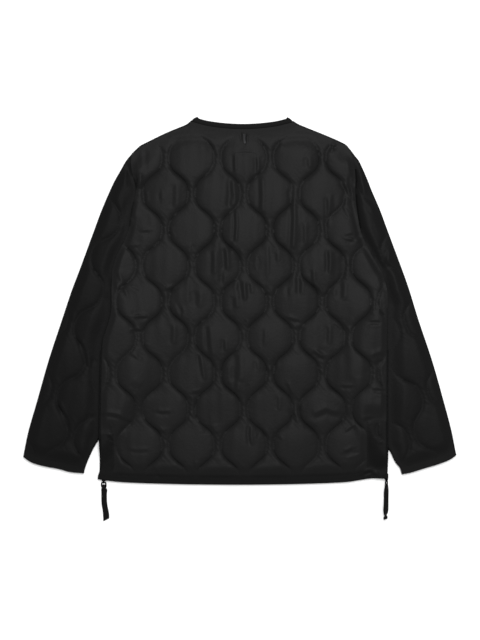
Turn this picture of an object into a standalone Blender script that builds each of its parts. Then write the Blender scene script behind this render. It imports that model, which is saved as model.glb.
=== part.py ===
"""Quilted liner jacket without a collar, laid face down and flat, so that its back is up.

The tables and functions work in millimetres; MM turns them into the scene's metres. In the garment's
own frame x runs across from the centre line, y runs up from the hem and z runs up from the floor.
Left and right are the wearer's. The last step moves the whole jacket so that the middle of its outline
stands on the origin.
"""
import math

import bmesh
import bpy
import numpy as np
from mathutils import Matrix, Vector
from mathutils.geometry import delaunay_2d_cdt

MM = 0.001

# Layers, from the floor up
SEAM_GAP = 0.3          # air between two pieces that are sewn together
FRONT_WALL = 6.5        # padded front, pressed flat by the back above it
STITCH_WALL = 2.4       # back wall along a row of quilting
PLAIN_WALL = 3.4        # back wall where it isn't quilted
PUFF_RISE = 7.5         # how far the widest cell of the back rises above its stitching
SLEEVE_HEIGHT = 8.6     # flattened sleeve along its stitching, both walls
SLEEVE_TUCKED = 8.0     # flattened sleeve under the body
SLEEVE_RISE = 6.6       # rise of the widest cell on a sleeve
SLEEVE_SLIT = (4.0, 5.0)   # the empty inside of the flattened sleeve

# Onion quilting: mirrored wavy rows, close together at the necks and wide apart at the bellies
QUILT_PITCH = 97.1      # from one column of bellies to the next but one
QUILT_LENGTH = 133.5    # from one belly to the next along a column
QUILT_SWING = 17.7      # how far a row swings to each side
QUILT_SQUARE = 1.25     # 0 gives a plain sine, more gives straighter flanks
QUILT_STEPS = 10        # points for each length of pattern

# The tucked sleeve lifts the body
LIFT = 8.5
LIFT_MARGIN = 10.0
LIFT_FALL = 34.0
LATTICE = 15.5          # spacing of the points that carry the lift
TUCK_BORDER = 10.0      # flat margin of the sleeve beside the body's edge

# Edges and zones
RIM_STEP = 13.0         # spacing of the points along an outline
HEM_WIDTH = 15.0        # turned hem and cuffs, without quilting
YOKE_TOP = 645.0        # the quilting ends below the neck
SHOULDER_PLAIN = 15.0   # plain margin along the shoulders
STRIP = {"left": (24.0, 95.0), "right": (36.0, 120.0)}   # plain strip at the zips: width, height

# Neck
NECK_HALF = 84.5        # from the centre line to the fold of the binding
NECK_FOLD_Y = 675.6
NECK_BACK_Y = 666.3     # middle of the binding at the centre back
NECK_BACK_CURVE = 1.95
NECK_DROP = 92.0        # depth of the front neckline
BINDING_WIDTH = 9.3
BINDING_THICK = 3.0
BINDING_BACK_Z = 8.2
BINDING_FRONT_Z = 3.2
SHOULDER_SLOPE = math.radians(33.5)   # slope of the shoulder beside the neck

# Front placket
PLACKET_HALF = 15.0
PLACKET_OUTER = (1.5, 3.9)   # left front, the outer layer: bottom and top
PLACKET_INNER = 4.2          # bottom of the right front in the overlap
STUD_RADIUS = 6.5
STUD_HEIGHT = 1.2
STUD_HEIGHTS_Y = (545.0, 435.0, 325.0, 215.0, 105.0)

# Side zips
ZIP_WIDTH = 2.2
ZIP_HEIGHT = 2.6
ZIP_TOP = 250.0
SLIDER = {"width": 8.4, "nose": 6.2, "length": 11.5, "thick": 4.0, "slot": 0.8, "spine": 2.4}
EAR = {"radius": 1.95, "width": 2.2, "hole": 1.15}
LOOP = {"width": 9.6, "length": 9.5, "wire": 0.75, "corner": 2.0}
TAPE = {"thick": 1.1, "eye": 1.6, "eye_width": 5.6, "air": 0.4, "slant": 0.54}

# pivot x, y, z; roll of the slider about y; drop of the loop's far end; sink of the tape below it
PULLS = {
    "left": {"pivot": (-259.4, 4.6, 4.5), "roll": 0.0, "drop": 2.25, "sink": 0.85},
    "right": {"pivot": (267.2, 7.2, 5.4), "roll": math.radians(60.0), "drop": 0.0, "sink": 0.0},
}
# middle of the folded tape: distance from the pivot, sideways shift, width
TAPE_ROWS = {
    "left": ((9.5, 0.0, 5.6), (12.0, 0.3, 7.5), (15.0, 0.8, 11.2), (21.0, 0.5, 10.2), (33.0, 0.4, 10.3),
             (44.0, 1.4, 10.4), (52.0, 3.1, 10.6), (61.0, 4.2, 10.9), (68.0, 4.6, 10.9)),
    "right": ((9.5, 0.0, 5.6), (12.0, 0.2, 7.5), (15.0, -0.4, 10.6), (21.0, -1.0, 10.4), (33.0, -1.3, 10.2),
              (44.0, -1.8, 10.4), (52.0, -2.2, 10.6), (61.0, -2.0, 10.2), (66.0, -1.8, 9.8)),
}
CORNER_LIFT = {"left": 0.0, "right": 4.0}    # the hem's corner rides up on a rolled slider
CORNER_LIFT_REACH = 30.0

# Hanging loop at the back neck
HANGER = {"x": 1.0, "top": 652.5, "bottom": 634.5, "spread": 2.6, "narrow": 1.35, "width": 2.1, "thick": 1.3}

# Outlines: one row for each point, x and y
ARMHOLE = {
    "left": ((-206.5, 616.7), (-208.2, 603.5), (-207.6, 588.5), (-204.0, 571.0), (-199.6, 552.4),
             (-200.9, 535.5), (-206.6, 516.0), (-209.6, 496.6), (-213.0, 474.3), (-222.3, 451.0),
             (-235.3, 425.9), (-243.7, 398.0)),
    "right": ((194.4, 630.0), (203.7, 608.2), (208.9, 576.6), (208.9, 539.4), (213.0, 502.2),
              (220.4, 466.9), (238.1, 429.7), (259.7, 393.0)),
}
SHOULDER = {
    "left": ((-123.7, 663.1), (-141.5, 655.7), (-157.5, 648.2), (-172.4, 640.8), (-187.5, 633.3),
             (-193.1, 629.6), (-200.9, 622.2), (-206.5, 616.7)),
    "right": ((122.6, 663.1), (141.4, 655.7), (159.4, 648.2), (176.3, 640.8), (189.0, 634.4),
              (194.4, 630.0)),
}
HUG = {   # the sleeve lies against the body's side, below the armpit
    "left": ((-243.7, 398.0), (-244.0, 368.0), (-243.7, 338.5)),
    "right": ((259.7, 393.0), (267.2, 362.7), (268.4, 332.9)),
}
SIDE = {  # the body lies on the sleeve and then runs down free to the hem
    "left": ((-243.7, 338.5), (-246.5, 316.0), (-256.0, 284.6), (-261.5, 260.4), (-264.4, 158.1),
             (-265.2, 89.3), (-266.2, 31.6), (-268.0, 10.2)),
    "right": ((268.4, 332.9), (267.9, 270.0), (266.9, 200.0), (267.0, 89.3), (267.2, 12.1)),
}
HEM = ((-268.0, 10.2), (-219.5, 4.7), (-130.0, 1.6), (-44.6, 0.4), (26.0, 0.4), (110.0, 1.8),
       (184.1, 4.7), (213.9, 8.4), (238.1, 12.0), (267.2, 12.1))
TUCK = {  # the sleeve's underarm fold, hidden under the body
    "left": ((-243.7, 338.5), (-232.5, 297.6), (-225.0, 260.4), (-223.2, 223.2), (-226.9, 186.0),
             (-238.0, 148.8), (-253.0, 111.6), (-269.1, 83.7)),
    "right": ((268.4, 332.9), (254.8, 297.6), (241.8, 260.4), (234.4, 217.6), (232.5, 173.0),
              (239.9, 130.2), (253.9, 94.9), (270.6, 65.1)),
}
FOREARM = {  # the underarm fold where it shows, down to the cuff
    "left": ((-269.1, 83.7), (-280.3, 64.2), (-290.2, 41.9), (-295.0, 28.0), (-295.9, 21.4)),
    "right": ((270.6, 65.1), (274.7, 60.5), (281.6, 45.6), (286.4, 38.1), (292.0, 31.6),
              (295.7, 19.5)),
}
CUFF = {
    "left": ((-295.9, 21.4), (-321.8, 23.9), (-343.5, 29.6), (-372.9, 35.2), (-394.1, 41.9),
             (-409.0, 52.1)),
    "right": ((295.7, 19.5), (313.4, 23.0), (336.7, 30.3), (362.7, 38.1), (384.5, 46.6),
              (397.5, 55.8)),
}
OUTER = {  # the sleeve's outer fold, from the cuff up to the shoulder
    "left": ((-409.0, 52.1), (-407.0, 64.2), (-399.3, 101.4), (-383.2, 157.2), (-362.1, 231.6),
             (-337.6, 306.0), (-319.0, 361.8), (-304.9, 399.0), (-277.5, 473.4), (-263.7, 510.6),
             (-247.8, 547.8), (-239.0, 566.4), (-228.4, 585.0), (-217.6, 603.6), (-206.5, 616.7)),
    "right": ((397.5, 55.8), (395.4, 64.2), (388.2, 101.4), (373.5, 157.2), (352.3, 231.6),
              (327.4, 306.0), (310.2, 361.8), (297.2, 399.0), (269.5, 473.4), (255.8, 510.6),
              (239.9, 547.8), (232.7, 566.4), (224.7, 585.0), (215.8, 603.6), (209.8, 611.0),
              (201.4, 622.2), (194.4, 630.0)),
}

# Quilting frames: middle of one belly, and the direction up its column
QUILT_FRAME = {
    "body": ((1.9, 75.0), (0.0, 1.0)),
    "left": ((-303.2, 160.0), (0.24, 0.971)),
    "right": ((292.0, 154.4), (-0.319, 0.948)),
}

# Rims from the lower face to the upper one: inset in millimetres and share of the height
RIM_BACK = ((0.4, 0.0), (0.0, 0.35), (2.0, 1.0))
RIM_FRONT = ((2.0, 0.0), (0.0, 0.65), (0.4, 1.0))
RIM_SLEEVE = ((3.0, 0.0), (0.7, 0.2), (0.0, 0.5), (0.7, 0.8), (3.0, 1.0))
ROUNDNESS = {"fold": 1.0, "hem": 0.5, "seam": 0.05}

# colour, roughness, metallic
FINISH = {
    "body_cloth": ((0.016, 0.016, 0.017), 0.62, 0.0),
    "sleeve_cloth": ((0.013, 0.013, 0.014), 0.62, 0.0),
    "binding_cloth": ((0.008, 0.008, 0.009), 0.75, 0.0),
    "zip_chain": ((0.010, 0.010, 0.010), 0.45, 0.0),
    "zip_metal": ((0.10, 0.10, 0.105), 0.35, 1.0),
    "stud_metal": ((0.05, 0.05, 0.052), 0.4, 1.0),
}


# ---------------------------------------------------------------- plane geometry

def curve(rows, step=RIM_STEP):
    """Smooth path through the rows, cut into equal stretches of about one step."""
    rows = np.array(rows, dtype=float)
    padded = np.vstack([2 * rows[0] - rows[1], rows, 2 * rows[-1] - rows[-2]])
    fine = []
    for i in range(1, len(padded) - 2):
        p0, p1, p2, p3 = padded[i - 1:i + 3]
        for t in np.linspace(0.0, 1.0, 12, endpoint=False):
            fine.append(0.5 * (2 * p1 + (p2 - p0) * t + (2 * p0 - 5 * p1 + 4 * p2 - p3) * t * t
                               + (3 * p1 - p0 - 3 * p2 + p3) * t ** 3))
    fine = np.array(fine + [rows[-1]])
    length = np.concatenate([[0.0], np.cumsum(np.linalg.norm(np.diff(fine, axis=0), axis=1))])
    count = max(1, round(length[-1] / step))
    stops = np.linspace(0.0, length[-1], count + 1)
    return np.column_stack([np.interp(stops, length, fine[:, k]) for k in range(2)])


def outline(*edges):
    """Join edges, each a path and its kind, into one loop of x, y and roundness."""
    loop = []
    for path, kind in edges:
        for x, y in path[:-1]:
            loop.append([x, y, ROUNDNESS[kind]])
    kinds = [row[2] for row in loop]
    for i, row in enumerate(loop):
        row[2] = min(kinds[i], kinds[i - 1])
    return np.array(loop)


def inward(loop):
    """Unit vectors that point into a loop that runs anticlockwise, longer at sharp corners."""
    ahead = np.roll(loop, -1, axis=0) - loop
    ahead /= np.linalg.norm(ahead, axis=1)[:, None]
    behind = np.roll(ahead, 1, axis=0)
    normal = np.column_stack([-(ahead + behind)[:, 1], (ahead + behind)[:, 0]])
    normal /= np.linalg.norm(normal, axis=1)[:, None]
    stretch = np.clip(np.sum(normal * np.column_stack([-ahead[:, 1], ahead[:, 0]]), axis=1), 0.6, 1.0)
    return normal / stretch[:, None]


def path_distance(x, y, path, closed=False):
    """Distance from each point to a path."""
    start = np.asarray(path, dtype=float)[:, :2]
    end = np.roll(start, -1, axis=0)
    if not closed:
        start, end = start[:-1], end[:-1]
    run = end - start
    px, py = np.atleast_1d(x)[:, None] - start[:, 0], np.atleast_1d(y)[:, None] - start[:, 1]
    square = np.maximum(np.sum(run * run, axis=1), 1e-12)
    share = np.clip((px * run[:, 0] + py * run[:, 1]) / square, 0.0, 1.0)
    return np.hypot(px - share * run[:, 0], py - share * run[:, 1]).min(axis=1)


def inside(x, y, loop):
    """Which points lie inside a loop."""
    ax, ay = loop[:, 0], loop[:, 1]
    bx, by = np.roll(ax, -1), np.roll(ay, -1)
    px, py = np.atleast_1d(x)[:, None], np.atleast_1d(y)[:, None]
    crosses = (ay > py) != (by > py)
    rise = np.where(by == ay, 1e-9, by - ay)
    left = px < (bx - ax) * (py - ay) / rise + ax
    return np.sum(crosses & left, axis=1) % 2 == 1


def ease(value):
    """Smooth step from 0 to 1."""
    t = np.clip(value, 0.0, 1.0)
    return t * t * (3.0 - 2.0 * t)


# ---------------------------------------------------------------- the sleeve under the body

PATHS = {side: {"armhole": curve(ARMHOLE[side]), "shoulder": curve(SHOULDER[side]),
                "hug": curve(HUG[side]), "side": curve(SIDE[side]), "tuck": curve(TUCK[side]),
                "forearm": curve(FOREARM[side], 8.0), "cuff": curve(CUFF[side]),
                "outer": curve(OUTER[side])} for side in ("left", "right")}
HEM_PATH = curve(HEM)


def tuck_region(side):
    """The part of the sleeve that the body covers."""
    edge = PATHS[side]["side"]
    return np.vstack([PATHS[side]["tuck"], edge[edge[:, 1] > TUCK[side][-1][1] + 4.0][::-1]])


TUCKED = {side: tuck_region(side) for side in ("left", "right")}


def tuck_distance(x, y, side):
    away = path_distance(x, y, TUCKED[side], closed=True)
    return np.where(inside(x, y, TUCKED[side]), 0.0, away)


def lift(x, y):
    """Height that the tucked sleeves give to the body."""
    away = np.minimum(tuck_distance(x, y, "left"), tuck_distance(x, y, "right"))
    return LIFT * (1.0 - ease((away - LIFT_MARGIN) / LIFT_FALL))


def corner_lift(x, y):
    """Height that a rolled slider gives to the hem's corner."""
    height = np.zeros_like(np.atleast_1d(x), dtype=float)
    for side in ("left", "right"):
        corner = SIDE[side][-1]
        away = np.hypot(x - corner[0], y - corner[1])
        height += CORNER_LIFT[side] * (1.0 - ease((away - 10.0) / (CORNER_LIFT_REACH - 10.0)))
    return height


def lattice(loop):
    """Points of a triangular lattice where the lift changes, shared by the layers of the body."""
    low, high = loop[:, :2].min(axis=0), loop[:, :2].max(axis=0)
    row_step = LATTICE * math.sqrt(3) / 2
    found = []
    for row in range(math.floor(low[1] / row_step), math.ceil(high[1] / row_step)):
        start = LATTICE * (row % 2) / 2
        for column in range(math.floor(low[0] / LATTICE) - 1, math.ceil(high[0] / LATTICE) + 1):
            found.append((start + column * LATTICE, row * row_step))
    found = np.array(found)
    x, y = found[:, 0], found[:, 1]
    away = np.minimum(tuck_distance(x, y, "left"), tuck_distance(x, y, "right"))
    corner = np.hypot(x - SIDE["right"][-1][0], y - SIDE["right"][-1][1])
    band = ((away > 2.0) & (away < LIFT_MARGIN + LIFT_FALL + LATTICE)) | (corner < CORNER_LIFT_REACH + 8.0)
    clear = path_distance(x, y, loop, closed=True) > 6.0
    return found[band & clear & inside(x, y, loop)]


# ---------------------------------------------------------------- quilting

def quilt_wave(v):
    return np.tanh(QUILT_SQUARE * np.cos(2 * math.pi * v / QUILT_LENGTH)) / math.tanh(QUILT_SQUARE)


def quilt_row(number, v):
    """Place across the pattern of one row of quilting."""
    swing = QUILT_SWING if number % 2 == 0 else -QUILT_SWING
    return (number + 0.5) * QUILT_PITCH / 2 + swing * quilt_wave(v)


def to_pattern(x, y, frame):
    (ox, oy), (ux, uy) = QUILT_FRAME[frame]
    return (x - ox) * uy - (y - oy) * ux, (x - ox) * ux + (y - oy) * uy


def from_pattern(u, v, frame):
    (ox, oy), (ux, uy) = QUILT_FRAME[frame]
    return ox + u * uy + v * ux, oy - u * ux + v * uy


def puff(x, y, frame):
    """Height of the padding above the stitching, from 0 to 1."""
    u, v = to_pattern(x, y, frame)
    channel = np.round(u / (QUILT_PITCH / 2))
    height = np.zeros_like(u)
    widest = QUILT_PITCH / 2 + 2 * QUILT_SWING
    for shift in (-1, 0, 1):
        number = channel + shift
        sign = np.where(number % 2 == 0, 1.0, -1.0)
        middle = number * QUILT_PITCH / 2
        half = QUILT_PITCH / 4 + sign * QUILT_SWING * quilt_wave(v)
        share = np.clip(1.0 - ((u - middle) / half) ** 2, 0.0, 1.0)
        height = np.maximum(height, (2 * half / widest) * share ** 0.65)
    return height


def quilt_points(loop, frame, strength):
    """Rows of stitching and points of padding inside a loop: a list of runs, and loose points."""
    u, v = to_pattern(loop[:, 0], loop[:, 1], frame)
    step = QUILT_LENGTH / QUILT_STEPS
    heights = np.arange(math.floor(v.min() / step), math.ceil(v.max() / step) + 1) * step
    numbers = range(math.floor(2 * u.min() / QUILT_PITCH) - 1, math.ceil(2 * u.max() / QUILT_PITCH) + 1)

    def usable(x, y, least):
        clear = path_distance(x, y, loop, closed=True) > 6.5
        return clear & inside(x, y, loop) & (strength(x, y) > least)

    runs, loose = [], []
    for number in numbers:
        x, y = from_pattern(quilt_row(number, heights), heights, frame)
        run = []
        for px, py, ok in zip(x, y, usable(x, y, 0.12)):
            if ok:
                run.append((px, py))
            elif run:
                runs.append(run)
                run = []
        if run:
            runs.append(run)
        width = quilt_row(number + 1, heights) - quilt_row(number, heights)
        for height, gap in zip(heights, width):
            shares = (0.14, 0.38, 0.62, 0.86) if gap > 70 else (0.2, 0.5, 0.8) if gap > 50 else (0.3, 0.7)
            shares = (0.5,) if gap < 27 else shares
            across = quilt_row(number, height) + np.array(shares) * gap
            x, y = from_pattern(across, np.full(len(shares), height), frame)
            loose += [(px, py) for px, py, ok in zip(x, y, usable(x, y, 0.03)) if ok]
    return runs, loose


# ---------------------------------------------------------------- meshes

def finish(name):
    material = bpy.data.materials.get(name)
    if material is None:
        colour, roughness, metallic = FINISH[name]
        material = bpy.data.materials.new(name)
        material.use_nodes = True
        shader = material.node_tree.nodes["Principled BSDF"]
        shader.inputs["Base Color"].default_value = (*colour, 1.0)
        shader.inputs["Roughness"].default_value = roughness
        shader.inputs["Metallic"].default_value = metallic
        material.diffuse_color = (*colour, 1.0)
    return material


def make_object(name, vertices, faces, material, parent=None):
    """One closed body from points in millimetres."""
    mesh = bpy.data.meshes.new(name)
    mesh.from_pydata([Vector(v) * MM for v in vertices], [], [tuple(face) for face in faces])
    work = bmesh.new()
    work.from_mesh(mesh)
    bmesh.ops.delete(work, geom=[v for v in work.verts if not v.link_faces], context="VERTS")
    bmesh.ops.recalc_face_normals(work, faces=work.faces)
    work.to_mesh(mesh)
    work.free()
    mesh.shade_smooth()
    mesh.set_sharp_from_angle(angle=math.radians(50))
    made = bpy.data.objects.new(name, mesh)
    bpy.context.scene.collection.objects.link(made)
    if material:
        mesh.materials.append(finish(material))
    if parent:
        made.parent = parent
    return made


def fill(ring, points, runs):
    """Triangles over a ring, its loose points and its runs of joined points."""
    count = len(ring)
    coordinates = [tuple(p) for p in ring] + [tuple(p) for p in points]
    edges = [(i, (i + 1) % count) for i in range(count)]
    for run in runs:
        first = len(coordinates)
        coordinates += [tuple(p) for p in run]
        edges += [(first + i, first + i + 1) for i in range(len(run) - 1)]
    result = delaunay_2d_cdt([Vector(c) for c in coordinates], edges, [], 0, 1e-5, True)
    places, found, origins = result[0], result[2], result[3]
    source = [origin[0] for origin in origins]
    flat = np.array([(p.x, p.y) for p in places])
    triangles = np.array([list(face) for face in found])
    a, b, c = (flat[triangles[:, k]] for k in range(3))
    turn = (b - a)[:, 0] * (c - a)[:, 1] - (b - a)[:, 1] * (c - a)[:, 0]
    middle = flat[triangles].mean(axis=1)
    within = inside(middle[:, 0], middle[:, 1], np.asarray(ring))
    seed = int(np.argmax(np.where(within, abs(turn), 0.0)))
    named = [[source[i] for i in (face if sign > 0 else face[::-1])] for face, sign in zip(triangles, turn)]
    rim = {frozenset(edge) for edge in edges[:count]}
    beside = {}
    for number, face in enumerate(named):
        for edge in zip(face, face[1:] + face[:1]):
            beside.setdefault(frozenset(edge), []).append(number)
    reached, waiting = {seed}, [seed]
    while waiting:
        face = named[waiting.pop()]
        for edge in zip(face, face[1:] + face[:1]):
            if frozenset(edge) not in rim:
                fresh = [number for number in beside[frozenset(edge)] if number not in reached]
                reached.update(fresh)
                waiting += fresh
    return np.array(coordinates[count:]).reshape(-1, 2), [named[number] for number in sorted(reached)]


def panel(name, loop, rim, low, high, low_extra, high_extra, material):
    """Cloth between a lower and an upper height, over a loop with a shaped rim.

    low and high give a height for each x and y. The extras are loose points and runs of joined
    points inside the loop, for the lower and for the upper face.
    """
    flat, roundness = loop[:, :2], loop[:, 2]
    way = inward(flat)
    vertices, rings = [], []
    for inset, share in rim:
        ring = flat + way * (inset * roundness + SEAM_GAP / 2)[:, None]
        z0, z1 = low(ring[:, 0], ring[:, 1]), high(ring[:, 0], ring[:, 1])
        rings.append((len(vertices), ring))
        vertices += [(x, y, z) for (x, y), z in zip(ring, z0 + share * (z1 - z0))]
    faces = []
    count = len(flat)
    for (lower, _), (upper, _) in zip(rings, rings[1:]):
        for i in range(count):
            j = (i + 1) % count
            faces.append((lower + i, lower + j, upper + j, upper + i))
    for (start, ring), height, extra in ((rings[0], low, low_extra), (rings[-1], high, high_extra)):
        points, triangles = fill(ring, *extra)
        offset = len(vertices)
        if len(points):
            vertices += [(x, y, z) for (x, y), z in zip(points, height(points[:, 0], points[:, 1]))]
        for triangle in triangles:
            spot = [start + i if i < count else offset + i - count for i in triangle]
            faces.append(spot if height is high else spot[::-1])
    return make_object(name, vertices, faces, material)


def loft(name, rings, material, parent=None, closed=False):
    """Skin over rings with the same number of points."""
    size = len(rings[0])
    vertices = [point for ring in rings for point in ring]
    faces = []
    last = len(rings) if closed else len(rings) - 1
    for r in range(last):
        here, there = r * size, ((r + 1) % len(rings)) * size
        for i in range(size):
            j = (i + 1) % size
            faces.append((here + i, here + j, there + j, there + i))
    if not closed:
        faces.append(tuple(range(size)))
        faces.append(tuple((len(rings) - 1) * size + i for i in reversed(range(size))))
    return make_object(name, vertices, faces, material, parent)


SOFT_STRIP = ((1.0, 0.4), (0.86, 1.0), (0.0, 1.0), (-0.86, 1.0), (-1.0, 0.4),
              (-1.0, -0.4), (-0.86, -1.0), (0.0, -1.0), (0.86, -1.0), (1.0, -0.4))
THIN_STRIP = ((1.0, 0.5), (0.85, 1.0), (-0.85, 1.0), (-1.0, 0.5),
              (-1.0, -0.5), (-0.85, -1.0), (0.85, -1.0), (1.0, -0.5))


def strip_ring(middle, across, normal, shape=THIN_STRIP):
    """Section of a strip: across and normal are its half width and half thickness as vectors."""
    middle, across, normal = Vector(middle), Vector(across), Vector(normal)
    return [middle + a * across + b * normal for a, b in shape]


def cut(target, cutter, operation="DIFFERENCE"):
    cutter.hide_render = True
    cutter.display_type = "WIRE"
    modifier = target.modifiers.new(cutter.name, "BOOLEAN")
    modifier.operation = operation
    modifier.solver = "EXACT"
    modifier.object = cutter


# ---------------------------------------------------------------- neck binding

FOLD_WAY = Vector((math.cos(SHOULDER_SLOPE), -math.sin(SHOULDER_SLOPE), 0.0))
FOLD_OUT = Vector((math.sin(SHOULDER_SLOPE), math.cos(SHOULDER_SLOPE), 0.0))


def back_neck(x):
    """Middle of the binding on the back, and its slope."""
    rise = NECK_FOLD_Y - NECK_BACK_Y
    share = abs(x) / NECK_HALF
    return NECK_BACK_Y + rise * share ** NECK_BACK_CURVE, \
        rise * NECK_BACK_CURVE * share ** (NECK_BACK_CURVE - 1) / NECK_HALF


def fold_half():
    """Half the length of the fold across the binding, at the shoulder."""
    slope = math.atan(back_neck(NECK_HALF)[1])
    width_way = Vector((-math.sin(slope), math.cos(slope), 0.0))
    return BINDING_WIDTH / 2 / abs(width_way.dot(FOLD_WAY))


def right_binding(inner):
    """Sections of the right half: middle, half width and half thickness as vectors.

    They run from the centre back over the fold at the shoulder to the centre front. inner says
    whether this end is the inner layer at the placket.
    """
    sections = []
    half, thick = BINDING_WIDTH / 2, BINDING_THICK / 2
    for x in np.linspace(0.0, NECK_HALF - 9.0, 9):
        y, slope = back_neck(x)
        along = Vector((1.0, slope, 0.0)).normalized()
        sections.append((Vector((x, y, BINDING_BACK_Z)), Vector((-along.y, along.x, 0.0)) * half,
                         Vector((0.0, 0.0, thick))))
    corner = Vector((NECK_HALF, NECK_FOLD_Y, (BINDING_BACK_Z + BINDING_FRONT_Z) / 2))
    radius = (BINDING_BACK_Z - BINDING_FRONT_Z) / 2
    for turn in range(0, 181, 30):
        angle = math.radians(turn)
        out = Vector((0.0, 0.0, 1.0)) * math.cos(angle) + FOLD_OUT * math.sin(angle)
        sections.append((corner + out * radius, -FOLD_WAY * fold_half(), out * thick))
    stops = list(np.linspace(7.0, 72.0, 8)) + [76.0, 81.0]
    for angle in [math.radians(stop) for stop in stops]:
        middle = Vector((NECK_HALF * math.cos(angle), NECK_FOLD_Y - NECK_DROP * math.sin(angle), 0.0))
        along = Vector((-NECK_HALF * math.sin(angle), -NECK_DROP * math.cos(angle), 0.0)).normalized()
        sections.append((middle, Vector((along.y, -along.x, 0.0)) * half, None))
    for x in (8.0, 0.0, -8.0, -PLACKET_HALF):
        middle = Vector((x, NECK_FOLD_Y - NECK_DROP, 0.0))
        sections.append((middle, Vector((0.0, 1.0, 0.0)) * half, None))
    placket = (PLACKET_INNER, FRONT_WALL) if inner else PLACKET_OUTER
    done = []
    for middle, across, normal in sections:
        if normal is None:
            share = float(ease(np.array((25.0 - middle.x) / 8.5)))
            low = BINDING_FRONT_Z - thick + share * (placket[0] - BINDING_FRONT_Z + thick)
            high = BINDING_FRONT_Z + thick + share * (placket[1] - BINDING_FRONT_Z - thick)
            middle = Vector((middle.x, middle.y, (low + high) / 2))
            normal = Vector((0.0, 0.0, -(high - low) / 2))
        done.append((middle, across, normal))
    return done


def mirror(sections):
    """The same sections on the other side of the centre line."""
    flip = Matrix.Diagonal((-1.0, 1.0, 1.0))
    return [tuple(flip @ vector for vector in section) for section in sections]


BINDING = {"right": right_binding(inner=True), "left": mirror(right_binding(inner=False))}


def neck_edge(side, layer):
    """Edge of a panel along the binding, from the centre to the shoulder."""
    sections = BINDING[side]
    fold = [i for i, (middle, across, normal) in enumerate(sections)
            if abs(normal.z) < 1e-6][0]
    chosen = sections[:fold - 3] if layer == "back" else sections[fold + 4:][::-1]
    rows = []
    for middle, across, _ in chosen:
        spot = middle - across - across.normalized() * SEAM_GAP / 2
        rows.append((spot.x, spot.y))
    out = FOLD_OUT.copy()
    way = FOLD_WAY.copy()
    corner = Vector((NECK_HALF, NECK_FOLD_Y, 0.0)) + way * (fold_half() + SEAM_GAP / 2)
    tip = corner + out * ((BINDING_BACK_Z - BINDING_FRONT_Z) / 2 + BINDING_THICK / 2)
    sign = 1.0 if side == "right" else -1.0
    rows += [(sign * corner.x, corner.y), (sign * tip.x, tip.y)]
    return np.array(rows)


def make_binding():
    sections = BINDING["left"][::-1] + BINDING["right"][1:]
    loft("neck_binding", [strip_ring(*section, SOFT_STRIP) for section in sections], "binding_cloth")


# ---------------------------------------------------------------- body panels

def shoulder_edge(side, layer):
    """From the tip at the neck down the shoulder to the armhole."""
    tip = neck_edge(side, layer)[-1]
    return curve([tuple(tip)] + list(SHOULDER[side]))


def back_outline():
    right, left = PATHS["right"], PATHS["left"]
    return outline(
        (HEM_PATH, "hem"), (right["side"][::-1], "fold"), (right["hug"][::-1], "seam"),
        (right["armhole"][::-1], "seam"), (shoulder_edge("right", "back")[::-1], "fold"),
        (neck_edge("right", "back")[::-1], "seam"), (neck_edge("left", "back"), "seam"),
        (shoulder_edge("left", "back"), "fold"), (left["armhole"], "seam"),
        (left["hug"], "seam"), (left["side"], "fold"))


BACK_LOOP = back_outline()
HEIGHT_BACK = FRONT_WALL + SEAM_GAP


def back_strength(x, y):
    """How full the quilting of the back is, from 0 to 1."""
    x, y = np.atleast_1d(x), np.atleast_1d(y)
    full = ease(path_distance(x, y, BACK_LOOP, closed=True) / 15.0)
    full *= ease((path_distance(x, y, HEM_PATH) - HEM_WIDTH) / 9.0)
    full *= ease((YOKE_TOP + 7.0 - y) / 15.0)
    for side in ("left", "right"):
        full *= ease((path_distance(x, y, PATHS[side]["shoulder"]) - SHOULDER_PLAIN) / 15.0)
        width, height = STRIP[side]
        across = ease((path_distance(x, y, PATHS[side]["side"]) - width) / 9.0)
        full *= 1.0 - (1.0 - across) * (1.0 - ease((y - height) / 25.0))
    return full


def back_low(x, y):
    return HEIGHT_BACK + lift(x, y) + corner_lift(x, y)


def back_high(x, y):
    full = back_strength(x, y)
    wall = STITCH_WALL + full * PUFF_RISE * puff(x, y, "body") + (1 - full) * (PLAIN_WALL - STITCH_WALL)
    return back_low(x, y) + wall


def hem_line(loop, path, width):
    """The row of stitching above a turned edge, clear of the loop."""
    way = inward(np.asarray(loop)[:, :2])
    nearest = [int(np.argmin(np.hypot(*(loop[:, :2] - point).T))) for point in path]
    rows = np.array([point + way[i] / np.linalg.norm(way[i]) * width for point, i in zip(path, nearest)])
    clear = path_distance(rows[:, 0], rows[:, 1], loop, closed=True) > 6.0
    return [tuple(row) for row, ok in zip(rows, clear) if ok]


def thin_out(points, keep_from, least):
    """Drop loose points that lie too near to the points of the runs."""
    if not len(points) or not keep_from:
        return points
    fixed = np.array([point for run in keep_from for point in run])
    points = np.array(points)
    away = np.array([np.hypot(*(fixed - point).T).min() for point in points])
    return [tuple(point) for point in points[away > least]]


def clip_runs(runs, path, least):
    """Keep the parts of the runs that stay clear of a path."""
    kept = []
    for run in runs:
        points = np.array(run)
        clear = path_distance(points[:, 0], points[:, 1], path) > least
        part = []
        for point, ok in zip(run, clear):
            if ok:
                part.append(point)
            elif part:
                kept.append(part)
                part = []
        if part:
            kept.append(part)
    return kept


def make_back():
    runs, loose = quilt_points(BACK_LOOP, "body", back_strength)
    hem = hem_line(BACK_LOOP, HEM_PATH[1:-1], HEM_WIDTH)
    runs = clip_runs(runs, np.array(hem), 3.0) + [hem]
    panel("back", BACK_LOOP, RIM_BACK, back_low, back_high, (lattice(BACK_LOOP), []),
          (thin_out(loose, runs, 4.0), runs), "body_cloth")


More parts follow.
